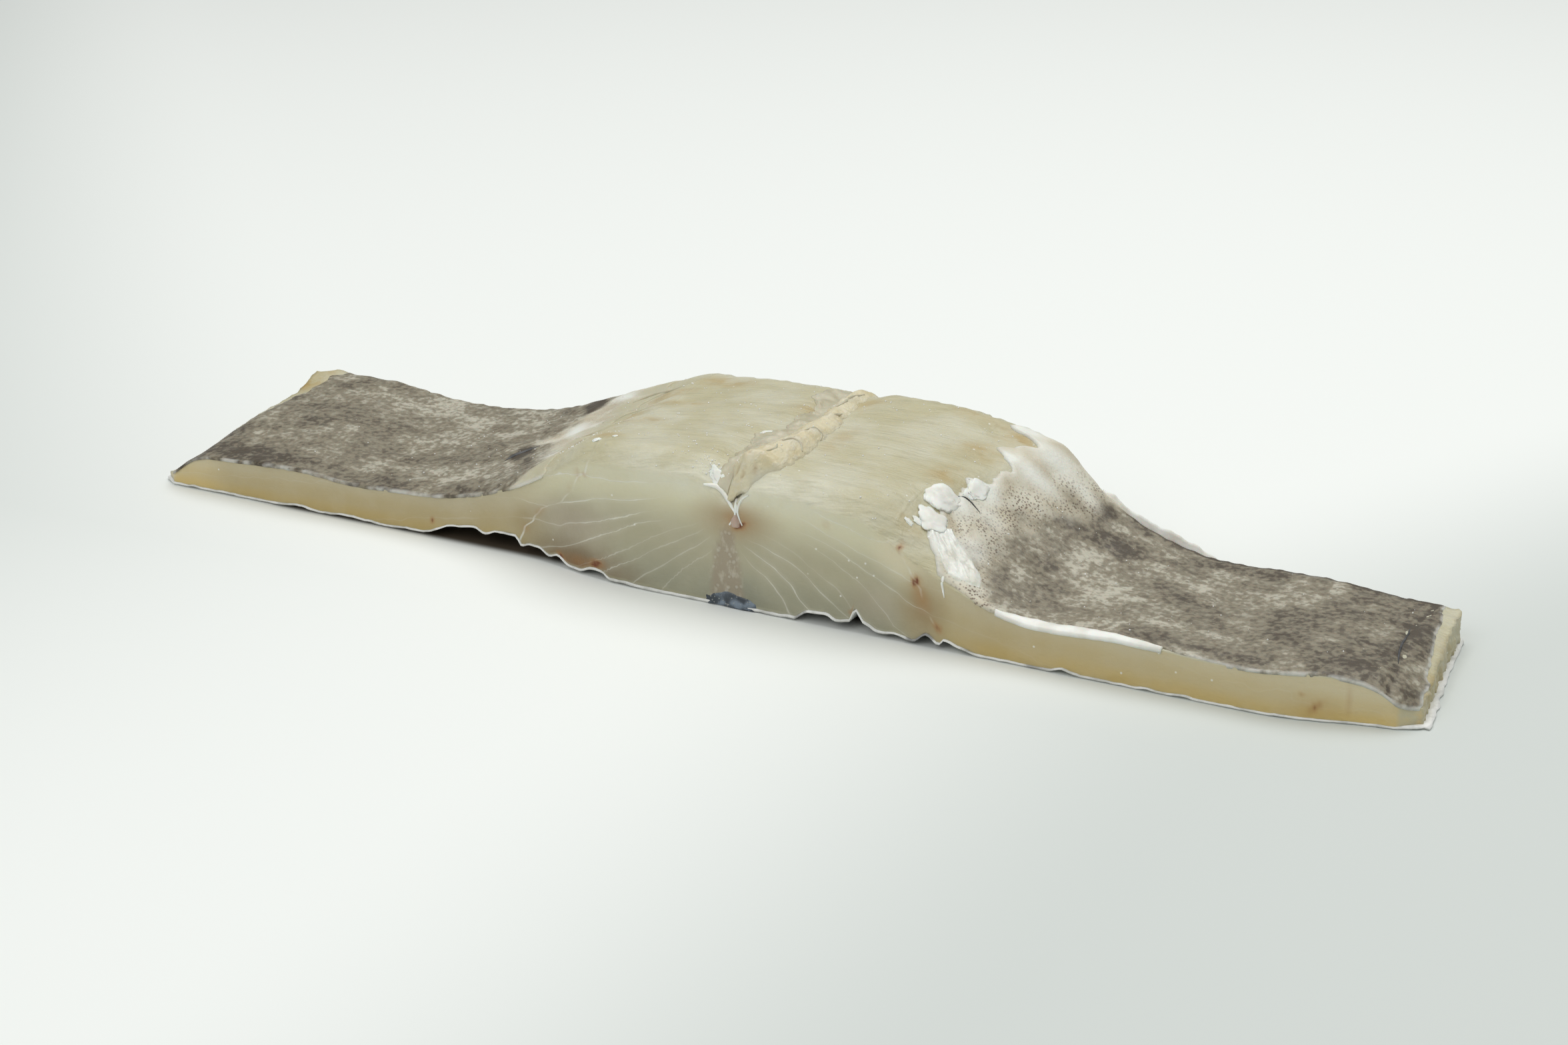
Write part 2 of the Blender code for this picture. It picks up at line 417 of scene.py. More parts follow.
def fleshShape(vert):
    # pushes one point of the plain draped block to its worn, uneven place
    look = fleshLook
    x, y, z = vert.co / mm
    front, back = y - frontAt(x), backAt(x) - y
    up = max(vert.normal.z, 0)
    sizes = look["grainSize"]
    swell = look["swell"] * ripple(x, y, z, look["swellSize"])
    swell += look["grain"] * ripple(x / sizes[0], y / sizes[1], z / sizes[2], 1) * up
    vert.co += vert.normal * swell * mm * softRamp(z, 0.5, 3)
    raised = follow(look["backRaise"], x) * (1 - softRamp(back, 0, look["backReach"])) * softRamp(z, 3, 16)
    raised += blot(x, y, look["corners"]) * softRamp(z, 0.5, 8)
    raised += blot(x, y, look["lumps"]) * up
    centre, half, deep, reach = look["notch"]
    cut = deep * max(1 - abs(x - centre) / half, 0) * (1 - softRamp(front, 0, reach))
    raised -= cut * softRamp(z, 22, 31)
    rag = look["backRag"] * up * (1 - softRamp(back, 0, 3.5))
    raised += rag * ripple(x, 9, z, 3.1, 3)
    vert.co.y += look["backRag"] * ripple(x, 30, z, 2.6, 3) * (1 - softRamp(back, 0, 2)) * mm
    endOff = min(x - leftAt(y), rightAt(y) - x)
    rim = look["rimRag"] * (1 - softRamp(endOff, 0, 5)) * (1 if x > 0 else 0.6)
    vert.co.x += rim * ripple(x / 2, y, z / 2, 2.2, 4) * mm
    raised += 0.4 * rim * ripple(x / 3, y, z, 1.8, 3) * softRamp(z, 2, 5)
    vert.co.z += raised * mm


def fleshMesh():
    look = fleshLook
    bm, points = newSheet(look)
    for vert, u, v in points:
        x, y = planPoint(u, v)
        vert.co = Vector((x, y, heightOn(solidTree, x, y))) * mm
    for turn in range(look["smoothing"]):
        bmesh.ops.smooth_vert(bm, verts=bm.verts, factor=0.5, use_axis_z=True)
    lower = set(secondSide(bm))
    for vert in lower:
        x, y = vert.co.x / mm, vert.co.y / mm
        vert.co.z = (skinHeight(x, y) + 0.6 * skinLook["thick"]) * mm
    posts = [edge for edge in bm.edges if (edge.verts[0] in lower) != (edge.verts[1] in lower)]
    bmesh.ops.subdivide_edges(bm, edges=posts, cuts=look["wallCuts"], use_grid_fill=True)
    bmesh.ops.recalc_face_normals(bm, faces=bm.faces)
    bm.normal_update()
    for vert in bm.verts:
        fleshShape(vert)
    bm.normal_update()
    return bm


def faceTint(x, z):
    # base colour of the cut face at a height: amber below and cream above, greyer in the loins; the amber low
    # in the flaps is partly the flesh's own colour and partly painted glow of light through it
    look = fleshLook
    share = ramp(z, 0, follow(look["faceTop"], x))
    inLoin = softRamp(x, -76, -44) * (1 - softRamp(x, 48, 78))
    tone = mix(follow(look["flapTone"], x), 1, inLoin)
    tints = zip(look["flapTints"], look["loinTints"])
    levels = [Vector(flap).lerp(Vector(loin), inLoin) for flap, loin in tints]
    colour = levels[0].lerp(levels[1], softRamp(share, 0.1, 0.5))
    colour = colour.lerp(levels[2], softRamp(share, 0.5, 0.92)) * tone
    for tinge, spots in look["tinges"]:
        colour = colour.lerp(Vector(tinge), min(blot(x, z, spots), 1))
    return [(channel / 255) ** 2.2 / look["faceLight"] for channel in colour]


def fleshPaint(vert):
    # what the shader needs to know about one point
    look = fleshLook
    x, y, z = vert.co / mm
    band, gap, bright = fanAt(x, z)
    seam = follow(look["leftSeam"] if x < 5 else look["rightSeam"], z)
    inLoin = softRamp(x, -66, -60) * (1 - softRamp(x - seam, -1, 1) * (x > 5))
    # painted sheen: hazy white where the top turns down into the front cut, and fainter on the left loin's
    # slope
    frontBevelSheen = (1 - softRamp(y - frontAt(x), 3, 12)) * softRamp(z, 26, 33) * bump(x, 4, 60)
    side = abs(x - 4.4 - 0.6 * ripple(x, 0, z, 5)) / follow(look["columnHalf"], z)
    return {
        "band": band,
        "gap": gap,
        "cut": softRamp(abs(vert.normal.y), 0.7, 0.94),  # 1 on the two cut faces, 0 on the top
        "seam": x - seam,
        "lines": bright * mix(0.15, 1, inLoin),
        "paintedSheen": max(frontBevelSheen, 0.3 * bump(x, -56, 13) * max(vert.normal.z, 0)),
        "tan": blot(x, y, look["tan"]),
        "tint": (*faceTint(x, z), 1),
        "column": (1 - softRamp(side, 0.75, 1.15)) * (1 - softRamp(z, 20, 25)),
        "blood": blot(x, z, look["blood"]) if y < 0 else 0.0,
    }


def finishPiece(name, bm, material, smooth=True):
    mesh = bpy.data.meshes.new(name)
    bm.to_mesh(mesh)
    bm.free()
    if smooth:
        mesh.shade_smooth()
    mesh.materials.append(material)
    piece = bpy.data.objects.new(name, mesh)
    bpy.context.scene.collection.objects.link(piece)
    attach(piece, "root")
    return piece


# node helpers

class Field:
    # a node's output, a value that changes over the surface and that plain arithmetic works on
    def __init__(self, tree, socket):
        self.tree = tree
        self.socket = socket

    def __add__(self, other):
        return calc("ADD", self, other)

    def __sub__(self, other):
        return calc("SUBTRACT", self, other)

    def __rsub__(self, other):
        return calc("SUBTRACT", other, self)

    def __mul__(self, other):
        return calc("MULTIPLY", self, other)

    def __truediv__(self, other):
        return calc("DIVIDE", self, other)

    def __abs__(self):
        return calc("ABSOLUTE", self)


def newMaterial(name):
    material = bpy.data.materials.new(name)
    material.use_nodes = True
    tree = material.node_tree
    return material, tree, tree.nodes["Principled BSDF"]


def setInputs(tree, node, values):
    for key, value in values.items():
        if isinstance(value, Field):
            tree.links.new(value.socket, node.inputs[key])
        else:
            node.inputs[key].default_value = value


def addNode(tree, kind, inputs=None, **settings):
    node = tree.nodes.new("ShaderNode" + kind)
    for key, value in settings.items():
        setattr(node, key, value)
    setInputs(tree, node, inputs or {})
    return node


def fieldOf(tree, kind, output, inputs=None, **settings):
    return Field(tree, addNode(tree, kind, inputs, **settings).outputs[output])


def calc(operation, first, second=0.0):
    tree = first.tree if isinstance(first, Field) else second.tree
    return fieldOf(tree, "Math", 0, {0: first, 1: second}, operation=operation)


def spread(value, low, high, toLow=0.0, toHigh=1.0):
    inputs = {"Value": value, "From Min": low, "From Max": high, "To Min": toLow, "To Max": toHigh}
    return fieldOf(value.tree, "MapRange", "Result", inputs, interpolation_type="SMOOTHSTEP")


def between(value, toLow, toHigh):
    return spread(value, 0.0, 1.0, toLow, toHigh)


def clamped(value):
    return fieldOf(value.tree, "Clamp", 0, {"Value": value})


def blend(share, first, second):
    # each colour is a field or (red, green, blue)
    first, second = (colour if isinstance(colour, Field) else (*colour, 1) for colour in (first, second))
    return fieldOf(share.tree, "Mix", 2, {0: share, 6: first, 7: second}, data_type="RGBA")


def bumpOf(relief, strength, distance):
    inputs = {"Height": relief, "Strength": strength, "Distance": distance}
    return fieldOf(relief.tree, "Bump", "Normal", inputs)


def pointValue(tree, name):
    return fieldOf(tree, "Attribute", "Fac", attribute_name=name)


def objectPlace(tree, turn=0.0):
    inputs = {"Vector": fieldOf(tree, "TexCoord", "Object"), "Rotation": (0, 0, math.radians(turn))}
    return fieldOf(tree, "Mapping", "Vector", inputs)


# the node groups: each puts out one Mask, from a pattern of Frequency cells to the metre along each axis

def newGroup(name, **inputs):
    group = bpy.data.node_groups.new(name, "ShaderNodeTree")
    for key, kind in inputs.items():
        group.interface.new_socket(key, in_out="INPUT", socket_type="NodeSocket" + kind)
    group.interface.new_socket("Mask", in_out="OUTPUT", socket_type="NodeSocketFloat")
    outputs = group.nodes.new("NodeGroupInput").outputs
    entry = {key: Field(group, outputs[key]) for key in inputs}
    scaled = fieldOf(group, "VectorMath", 0, {0: entry["Place"], 1: entry["Frequency"]}, operation="MULTIPLY")
    return group, entry, scaled


def closeGroup(group, mask):
    setInputs(group, group.nodes.new("NodeGroupOutput"), {"Mask": mask})
    return group


def makePatches():
    # soft irregular areas
    group, entry, scaled = newGroup(
        "patches", Place="Vector", Frequency="Vector", Detail="Float", Low="Float", High="Float")
    inputs = {"Vector": scaled, "Scale": 1.0, "Detail": entry["Detail"]}
    clouds = fieldOf(group, "TexNoise", "Fac", inputs)
    return closeGroup(group, spread(clouds, entry["Low"], entry["High"]))


def makeSpecks():
    # small separate dots; Share is how many of the cells hold one
    group, entry, scaled = newGroup(
        "specks", Place="Vector", Frequency="Vector", Share="Float", Radius="Float")
    cells = addNode(group, "TexVoronoi", {"Vector": scaled, "Scale": 1.0}).outputs
    luck = fieldOf(group, "SeparateColor", 0, {"Color": Field(group, cells["Color"])})
    chosen = calc("LESS_THAN", luck, entry["Share"])
    reach = {"Value": Field(group, cells["Distance"]), "From Min": entry["Radius"],
             "From Max": entry["Radius"] * 0.5}
    return closeGroup(group, fieldOf(group, "MapRange", "Result", reach) * chosen)


patches, specks = makePatches(), makeSpecks()


def useGroup(group, place, frequency, **inputs):
    # frequency is one number, or one for each axis
    node = addNode(place.tree, "Group", node_tree=group)
    frequency = frequency if isinstance(frequency, tuple) else (frequency,) * 3
    setInputs(place.tree, node, {"Place": place, "Frequency": frequency, **inputs})
    return Field(place.tree, node.outputs[0])


def patchesOn(place, frequency, detail, low, high):
    return useGroup(patches, place, frequency, Detail=detail, Low=low, High=high)


def specksOn(place, frequency, share, radius):
    return useGroup(specks, place, frequency, Share=share, Radius=radius)


def fleshMaterial():
    material, tree, shader = newMaterial("fleshLook")
    place = objectPlace(tree)
    turned = objectPlace(tree, turn=-12)
    cut = pointValue(tree, "cut")
    band = pointValue(tree, "band")
    gap = pointValue(tree, "gap")
    column = pointValue(tree, "column")

    # top: cream with long faint fibres and a few tan patches, and painted sheen in hazy white along the front
    # bevel, which also lifts the bevel's shade
    fibres = patchesOn(turned, (90, 300, 300), 5, 0.35, 0.7)
    clouds = patchesOn(place, (50, 60, 60), 5, 0.36, 0.66)
    ragged = patchesOn(place, (110, 160, 110), 5, 0.3, 0.7)
    top = blend(clouds, (0.515, 0.475, 0.305), (0.59, 0.565, 0.425))
    top = blend(fibres * 0.15, top, (0.72, 0.69, 0.54))
    patchy = pointValue(tree, "tan") * spread(ragged, 0.2, 0.8, 0.3, 1.0)
    top = blend(clamped(patchy), top, (0.46, 0.345, 0.155))
    paintedSheen = pointValue(tree, "paintedSheen") * between(ragged, 0.35, 1.0)

    # cut faces: the painted tint, each band of muscle a little lighter or darker
    whole = calc("FLOOR", band)
    tone = fieldOf(tree, "TexWhiteNoise", "Value", {"W": whole}, noise_dimensions="1D")
    face = fieldOf(tree, "Attribute", "Color", attribute_name="tint")
    tone = tone * (pointValue(tree, "lines") * 0.16)
    face = blend(tone, face, (0.36, 0.33, 0.26))
    haze = patchesOn(place, 90, 4, 0.35, 0.72)
    face = blend(haze * 0.16, face, (0.66, 0.62, 0.48))

    # septa: thin white lines on the whole numbers of band
    drift = fieldOf(tree, "TexNoise", "Fac", {"Vector": place, "Scale": 110.0, "Detail": 2.0})
    band = band + (drift - 0.5) * 0.3
    rounded = calc("ROUND", band)
    off = abs(band - rounded) * gap
    wobble = patchesOn(place, 150, 2, 0.3, 0.7)
    wide = between(wobble, 0.16, 0.36)
    line = spread(off / wide, 1.0, 0.0)
    glow = spread(off, 1.4, 0.0)
    strength = patchesOn(place, (45, 45, 60), 1, 0.3, 0.65)
    strength = between(strength, 0.32, 0.76) * pointValue(tree, "lines")
    line = line * strength + glow * strength * 0.16
    seam = spread(abs(pointValue(tree, "seam")), 0.55, 0.1)
    line = calc("MAXIMUM", line, seam * (wobble * 0.75))
    line = line * (1.0 - column)
    face = blend(line, face, (0.8, 0.79, 0.7))

    # middle column: pinkish, bubbly
    bubbles = specksOn(place, 620, 0.6, 0.42)
    flecks = patchesOn(place, (500, 500, 260), 3, 0.5, 0.68)
    tissue = blend(bubbles, (0.36, 0.3, 0.22), (0.5, 0.45, 0.36))
    tissue = blend(flecks * 0.5, tissue, (0.66, 0.62, 0.52))
    face = blend(column * 0.8, face, tissue)

    colour = blend(cut, top, face)
    # painted sheen in hazy white over the front bevel and the left loin's slope
    colour = blend(paintedSheen * 0.8, colour, (0.76, 0.745, 0.61))
    blood = clamped(pointValue(tree, "blood") * between(ragged, 0.6, 1.1))
    red = blend(spread(blood, 0.45, 0.95), (0.42, 0.21, 0.07), (0.19, 0.055, 0.018))
    colour = blend(blood, colour, red)
    salt = specksOn(place, 420, 0.05, 0.16)
    colour = blend(salt * 0.7, colour, (0.85, 0.85, 0.8))

    wet = patchesOn(place, 160, 3, 0.3, 0.7)
    fine = patchesOn(turned, (140, 1300, 700), 4, 0.2, 0.8)
    pits = patchesOn(place, 700, 4, 0.2, 0.8)
    creases = patchesOn(turned, (90, 330, 200), 3, 0.25, 0.75)
    relief = fine * 0.5 + pits * 0.5 + creases * (1.6 - cut) + line * 0.7 + bubbles * column * 1.2
    setInputs(tree, shader, {
        "Base Color": colour, "Roughness": between(wet, 0.34, 0.52),
        "Normal": bumpOf(relief, 0.6, 0.0003), "Subsurface Weight": 0.25,
        "Subsurface Radius": (1.0, 0.75, 0.45), "Subsurface Scale": 0.002, "IOR": 1.4,
    })
    return material


def skinMaterial():
    material, tree, shader = newMaterial("skinLook")
    place = objectPlace(tree)
    under = pointValue(tree, "under")
    centre = pointValue(tree, "middle")
    blotches = patchesOn(place, 110, 5, 0.38, 0.62)
    spots = specksOn(place, 260, 0.55, 0.5)
    scales = fieldOf(tree, "TexVoronoi", "Distance", {"Vector": place, "Scale": 900.0})
    dark = blend(blotches, (0.075, 0.075, 0.07), (0.2, 0.195, 0.165))
    pale = blend(blotches, (0.34, 0.33, 0.29), (0.55, 0.54, 0.49))
    outside = blend(centre, pale, dark)
    outside = blend(spots * 0.5, outside, (0.1, 0.09, 0.07))
    lateral = pointValue(tree, "lateral")
    outside = blend(lateral * 0.8, outside, (0.62, 0.62, 0.56))
    streak = patchesOn(place, 210, 4, 0.42, 0.66)
    rim = blend(streak, (0.93, 0.93, 0.9), (0.7, 0.7, 0.66))
    # darker patches on the skin's edge, towards the middle of the strip
    rimDarkPatches = patchesOn(place, 90, 4, 0.56, 0.66) * centre
    rim = blend(rimDarkPatches * 0.8, rim, (0.16, 0.16, 0.16))
    colour = blend(under, rim, outside)
    relief = scales + blotches * 0.5
    setInputs(tree, shader, {
        "Base Color": colour, "Roughness": between(blotches, 0.45, 0.62),
        "Normal": bumpOf(relief, 0.4, 0.0003),
    })
    return material


def skinPiece(material):
    look = skinLook
    bm, points = newSheet(look)
    for vert, u, v in points:
        x, y = planPoint(u, v)
        height = skinHeight(x, y)
        out = (look["proud"] + 0.9 * softRamp(x, 184, 190)) * (1 + 0.6 * ripple(x, y, 0, 5))
        y += out * (softRamp(v, 0.97, 1) - 1 + softRamp(v, 0, 0.03))
        x += (out + 0.8) * (softRamp(u, 0.985, 1) - 1 + softRamp(u, 0, 0.015))
        vert.co = Vector((x, y, height)) * mm
    for vert in secondSide(bm):
        x, y, z = vert.co / mm
        vert.co.z += look["thick"] * (1.15 + 0.45 * ripple(x, y, 7, 3.5) + 0.6 * bump(x, 0, 85)) * mm
    bmesh.ops.recalc_face_normals(bm, faces=bm.faces)
    bm.normal_update()
    painted = []
    for vert in bm.verts:
        x, y, z = vert.co / mm
        fromMiddle = abs(x - look["middle"])
        line = abs(fromMiddle - look["lateral"] - 2 * ripple(x, y, 0, 30))
        painted.append({
            "under": softRamp(-vert.normal.z, 0.6, 0.95),
            "middle": 1 - softRamp(fromMiddle + 10 * ripple(x, y, 0, 22), 62, 120),
            "lateral": 1 - softRamp(line, 1.2, 3.0),
        })
    paintPoints(bm, painted)
    return finishPiece("skin", bm, material)


# pieces that lie on the flesh

def drapedPiece(name, look, place, lift, material, paint=None):
    # a thin closed sheet laid on the flesh: place(u, v) gives its outline, lift its height above the flesh
    bm, points = newSheet(look)
    painted = []
    for vert, u, v in points:
        x, y = place(u, v)
        vert.co = Vector((x, y, heightOn(fleshTree, x, y) + lift(u, v, x, y))) * mm
        painted.append(paint(u, v, x, y) if paint else {})
    paintPoints(bm, painted)
    bmesh.ops.translate(bm, verts=secondSide(bm), vec=(0, 0, -look["thick"] * mm))
    bmesh.ops.recalc_face_normals(bm, faces=bm.faces)
    return finishPiece(name, bm, material)


def edgeTaper(u, v, columnsShare=0.03, rowsShare=0.06):
    # 0 on a sheet's outline, 1 inside
    return softRamp(min(u, 1 - u), 0, columnsShare) * softRamp(min(v, 1 - v), 0, rowsShare)


leftLiningLook = {
    "columns": 130,
    "rows": 78,
    "thick": 0.8,
    "high": 0.45,
    "edgeHigh": 0.16,
    "outerRag": 1.3,
    "innerRag": 2.2,
    "wrinkle": 0.16,
    "wave": 0.25,
    "outer": (
        (-43, 13), (-38, 8), (-30, 1.6), (-22, 1.4), (-12, 2.4), (0, 3.2), (15, 4.0), (30, 4.5),
        (42, 6.5),
    ),
    "inner": (
        (-40, -58), (-32, -55), (-25, -57), (-18, -51), (-10, -56), (-3, -50), (5, -56), (12, -49),
        (20, -55), (27, -50), (34, -54), (42, -48),
    ),
    "darkEnd": (
        (-40, -72), (-31, -66), (-22, -67), (-13, -71), (-3, -77), (6, -82), (17, -81), (26, -75),
        (42, -71),
    ),
    "dark": (
        (-75, -15, 19, 3.6, -58, 1.1), (-82.5, -5, 11, 4.6, -70, 3.0), (-78.5, 30, 12, 5, -62, 2.6),
        (-168, 32, 14, 6, 0, 0.6), (-160, 0, 20, 12, 20, 0.5), (-176, -15, 7, 22, 0, 0.55),
        (-150, -28, 30, 6, 0, 0.3), (-120, -10, 25, 8, 10, 0.3), (-112, -31, 14, 4, 0, 0.35),
    ),
    "white": (
        (-65, -16, 14, 4, -60, 1.0), (-72, 8, 14, 5, -60, 1.2), (-63, 4, 12, 3, -50, 0.8),
        (-68, 30, 12, 5, -40, 1.1), (-57, 20, 8, 2, 20, 0.6), (-58, -26, 5, 2, 0, 0.6),
        (-56, -8, 6, 2, 10, 0.6),
    ),
    "light": (
        (-105, -29, 16, 6, 0, 0.2), (-92, -20, 12, 14, 0, 0.5), (-100, 24, 22, 6, 0, 0.35),
        (-135, 25, 10, 5, 0, 0.3),
    ),
}


def leftLining(material):
    look = leftLiningLook

    def place(u, v):
        y = mix(frontAt(-130) - 0.2, backAt(-130), v)
        outer = leftAt(y) - follow(leftReach, y) + follow(look["outer"], y)
        outer += look["outerRag"] * ripple(0, y, 0, 4, 4)
        inner = follow(look["inner"], y) + look["innerRag"] * ripple(9, y, 0, 5, 4)
        x = mix(outer, inner, u)
        front = frontAt(x) - 0.25 + 0.35 * ripple(x, 0, 9, 3, 3)
        return x, mix(front, backAt(x) + 0.3 * ripple(x, 5, 9, 3, 3), v)

    def lift(u, v, x, y):
        taper = edgeTaper(u, v, 0.012, 0.012)
        wrinkle = look["wrinkle"] * ripple(x / 2.2, y, 0, 3.5, 3) + look["wave"] * ripple(x / 1.5, y, 4, 11)
        return mix(look["edgeHigh"], look["high"] + wrinkle, taper)

    def paint(u, v, x, y):
        dark = blot(x, y, look["dark"]) - blot(x, y, look["light"])
        pale = softRamp(x - follow(look["darkEnd"], y) + 5 * ripple(x, y, 2, 6, 3), -1.5, 4)
        front = y - frontAt(x)
        rim = 0.7 * (1 - softRamp(front, 0, 0.7)) * softRamp(ripple(x, 0, 5, 6), -0.3, 0.2)
        dashes = (1 - softRamp(front, 0.2, 0.9)) * bump(x, -154, 10) * softRamp(ripple(x, 0, 1, 2), 0, 0.2)
        dark += 2.5 * dashes + 0.5 * (1 - softRamp(front, 4, 18)) + 0.3 * (1 - softRamp(x, -180, -140))
        faded = softRamp(u + 0.04 * ripple(x, y, 1, 5, 3), 0.86, 0.97)
        return {"pale": pale, "dark": dark, "rim": rim, "stipple": 0.3,
                "white": blot(x, y, look["white"]), "faded": faded}

    return drapedPiece("leftLining", look, place, lift, material, paint)


rightLiningLook = {
    "columns": 150,
    "rows": 84,
    "thick": 0.8,
    "high": 0.5,
    "edgeHigh": 0.18,
    "outerRag": 0.6,
    "innerRag": 1.2,
    "wrinkle": 0.16,
    "wave": 0.3,
    "creaseDeep": 0.45,
    "tips": 0.35,
    "endFlesh": ((-43, 0.2), (-30, 0.8), (-15, 1.8), (5, 2.6), (30, 3.0)),
    "inner": (
        (-42, 66), (-39, 63), (-36, 59), (-30, 55.5), (-26, 58), (-22.7, 54.5), (-19, 59.5), (-14, 58.5),
        (-9, 58), (-3, 62.5), (2, 63), (5.5, 64.5), (9, 60.5), (12, 57), (16, 62), (20, 66), (25, 55),
        (29, 60), (38, 57),
    ),
    "darkStart": (
        (-42, 79), (-38, 75), (-30, 71), (-20, 70), (-12, 70), (0, 72), (8, 76), (16, 80), (24, 83),
        (34, 93),
    ),
    "frontGap": (
        (60, 1.5), (72, 0.4), (80, -0.3), (84, 0.8), (88, 2.6), (100, 3.4), (112, 3.0), (124, 1.3),
        (134, 0), (190, -0.2),
    ),
    "dark": (
        (78, -29.5, 4, 8, 10, 0.9), (104, 0, 18, 9, 0, 0.35), (82, -12, 12, 4.5, 20, 0.75),
        (81, 9, 9, 4, 30, 0.8), (88, -20, 9, 6, 0, 0.65), (96, 12, 14, 9, 10, 0.8),
        (86, 23, 4, 7, 0, 1.0), (100, 26, 14, 4, 0, 0.6), (123, 22, 26, 5, 0, 0.5),
        (125, -6, 18, 6, -8, 0.45), (152, -21, 20, 6, 0, 0.5), (136, -37, 22, 3.5, 0, 0.8),
        (162, -12, 14, 5, 0, 0.4), (178, 0, 9, 34, 0, 0.75), (170, -30, 18, 6, 0, 0.4),
    ),
    "light": (
        (90, 4, 9, 7, 20, 0.8), (84, -20, 7, 5, 0, 0.5), (93, 22, 7, 4, 0, 0.6), (118, 4, 14, 6, 0, 0.4),
        (120, -25, 20, 6, -10, 0.5), (105, -18, 10, 6, 0, 0.4), (150, 5, 16, 5, 0, 0.3),
    ),
    # white tissue; the blots towards the back, past y 20, are partly painted highlight along the back edge
    "white": (
        (62, -5, 7, 7, 0, 1.2), (60, 10.5, 10, 5, 20, 1.5), (69, 12, 12, 5, 10, 0.9),
        (60, 27, 9, 6, 30, 1.3), (67, 36, 12, 9, 0, 1.5), (78, 34, 14, 8, -20, 0.9),
        (70, 22, 13, 7, 10, 0.8), (60, -16, 6, 6, 0, 0.9), (69, -28, 6, 9, 0, 0.8),
        (63, -34, 8, 6, 0, 1.0), (67, -12, 8, 6, 0, 0.5), (80, 22, 10, 5, 0, 0.5),
    ),
    "crease": ((-36, 183), (-20, 180.5), (-9, 179.8), (-7, 177.9), (5, 176.4), (20, 178), (36, 176)),
}


def rightLining(material):
    look = rightLiningLook

    def frontOf(x):
        rag = mix(0.35, 0.1, softRamp(x, 120, 150))
        return frontAt(x) + follow(look["frontGap"], x) + rag * ripple(x, 0, 31, 3, 3)

    def creaseAt(y):
        return follow(look["crease"], y) + ripple(0, y, 0, 6)

    def place(u, v):
        y = mix(frontAt(120), backAt(120), v)
        inner = follow(look["inner"], y) + look["innerRag"] * ripple(3, y, 0, 2.5, 3)
        outer = rightAt(y) - follow(look["endFlesh"], y) + look["outerRag"] * ripple(0, y, 7, 6, 3)
        x = mix(inner, outer, u)
        return x, mix(frontOf(x), backAt(x) + 0.3 * ripple(x, 5, 9, 3, 3), v)

    def lift(u, v, x, y):
        taper = edgeTaper(u, v, 0.012, 0.012)
        wrinkle = look["wrinkle"] * ripple(x / 2.2, y, 8, 3.5, 3) + look["wave"] * ripple(x / 1.6, y, 4, 12)
        crease = look["creaseDeep"] * bump(x, creaseAt(y), 2.2)
        tips = look["tips"] * (1 - softRamp(u, 0, 0.05))
        return mix(look["edgeHigh"], look["high"] + wrinkle - crease, taper) + tips * taper

    def paint(u, v, x, y):
        dark = blot(x, y, look["dark"]) - blot(x, y, look["light"])
        away = x - follow(look["darkStart"], y) + 5 * ripple(x, y, 2, 7, 3)
        rim = max(1 - softRamp(u, 0, 0.02), softRamp(u, 0.992, 1))
        rim = max(rim, 0.8 * (1 - softRamp(y - frontOf(x), 0.1, 0.4)) * softRamp(x, 128, 140))
        dark += 2.0 * (1 - softRamp(backAt(x) - y, 0.4, 2.4)) * softRamp(x, 82, 86)
        dark += bump(x, creaseAt(y), 0.9) * softRamp(ripple(4, y, 0, 5), -0.2, 0.2)
        dark += 0.3 * softRamp(x, 80, 175)
        return {"pale": 1 - softRamp(away, -4, 7), "dark": dark, "rim": rim,
                "stipple": bump(away, 0, 14), "white": blot(x, y, look["white"]), "faded": 0.0}

    return drapedPiece("rightLining", look, place, lift, material, paint)


def liningMaterial():
    material, tree, shader = newMaterial("liningLook")
    place = objectPlace(tree)
    dark, pale = pointValue(tree, "dark"), pointValue(tree, "pale")
    rim, stipple = pointValue(tree, "rim"), pointValue(tree, "stipple")
    clouds = patchesOn(place, (55, 52, 80), 6, 0.34, 0.66)
    streaks = patchesOn(objectPlace(tree, turn=4), (190, 210, 300), 5, 0.34, 0.66)
    grain = patchesOn(place, (620, 560, 700), 5, 0.38, 0.62)
    light = patchesOn(place, (95, 110, 120), 7, 0.5, 0.66)
    amount = clouds * 0.34 + streaks * 0.24 + grain * 0.34 + dark * 0.5 - light * 0.2
    shade = blend(spread(amount, 0.0, 0.5), (0.52, 0.49, 0.395), (0.25, 0.218, 0.155))
    shade = blend(spread(amount, 0.45, 1.05), shade, (0.075, 0.058, 0.038))
    blots = specksOn(place, (700, 900, 800), 0.45, 0.5)
    shade = blend(blots * 0.3, shade, (0.09, 0.07, 0.055))

    # the pale film beyond the dark lining, pinkish and cloudy, with dots where they meet
    cloudy = patchesOn(place, (110, 120, 120), 6, 0.36, 0.64)
    film = blend(cloudy, (0.56, 0.5, 0.37), (0.71, 0.67, 0.55))
    dots = specksOn(place, 1300, 0.85, 0.5)
    crowd = patchesOn(place, (100, 140, 140), 5, 0.3, 0.56)
    dots = dots * crowd * stipple
    film = blend(dots, film, (0.15, 0.1, 0.07))
    # white tissue, and on the right lining towards the back partly painted highlight
    film = blend(pointValue(tree, "white"), film, (0.86, 0.86, 0.79))
    film = blend(pointValue(tree, "faded"), film, (0.545, 0.51, 0.36))
    colour = blend(pale, shade, film)
    white = patchesOn(place, 260, 3, 0.25, 0.6)
    colour = blend(rim * white, colour, (0.74, 0.73, 0.67))
    fine = patchesOn(place, (500, 1400, 1000), 4, 0.2, 0.8)
    relief = streaks * 0.6 + fine
    setInputs(tree, shader, {
        "Base Color": colour, "Roughness": between(streaks, 0.4, 0.6),
        "Normal": bumpOf(relief, 0.4, 0.0002), "Subsurface Weight": 0.08, "Subsurface Scale": 0.002,
    })
    return material


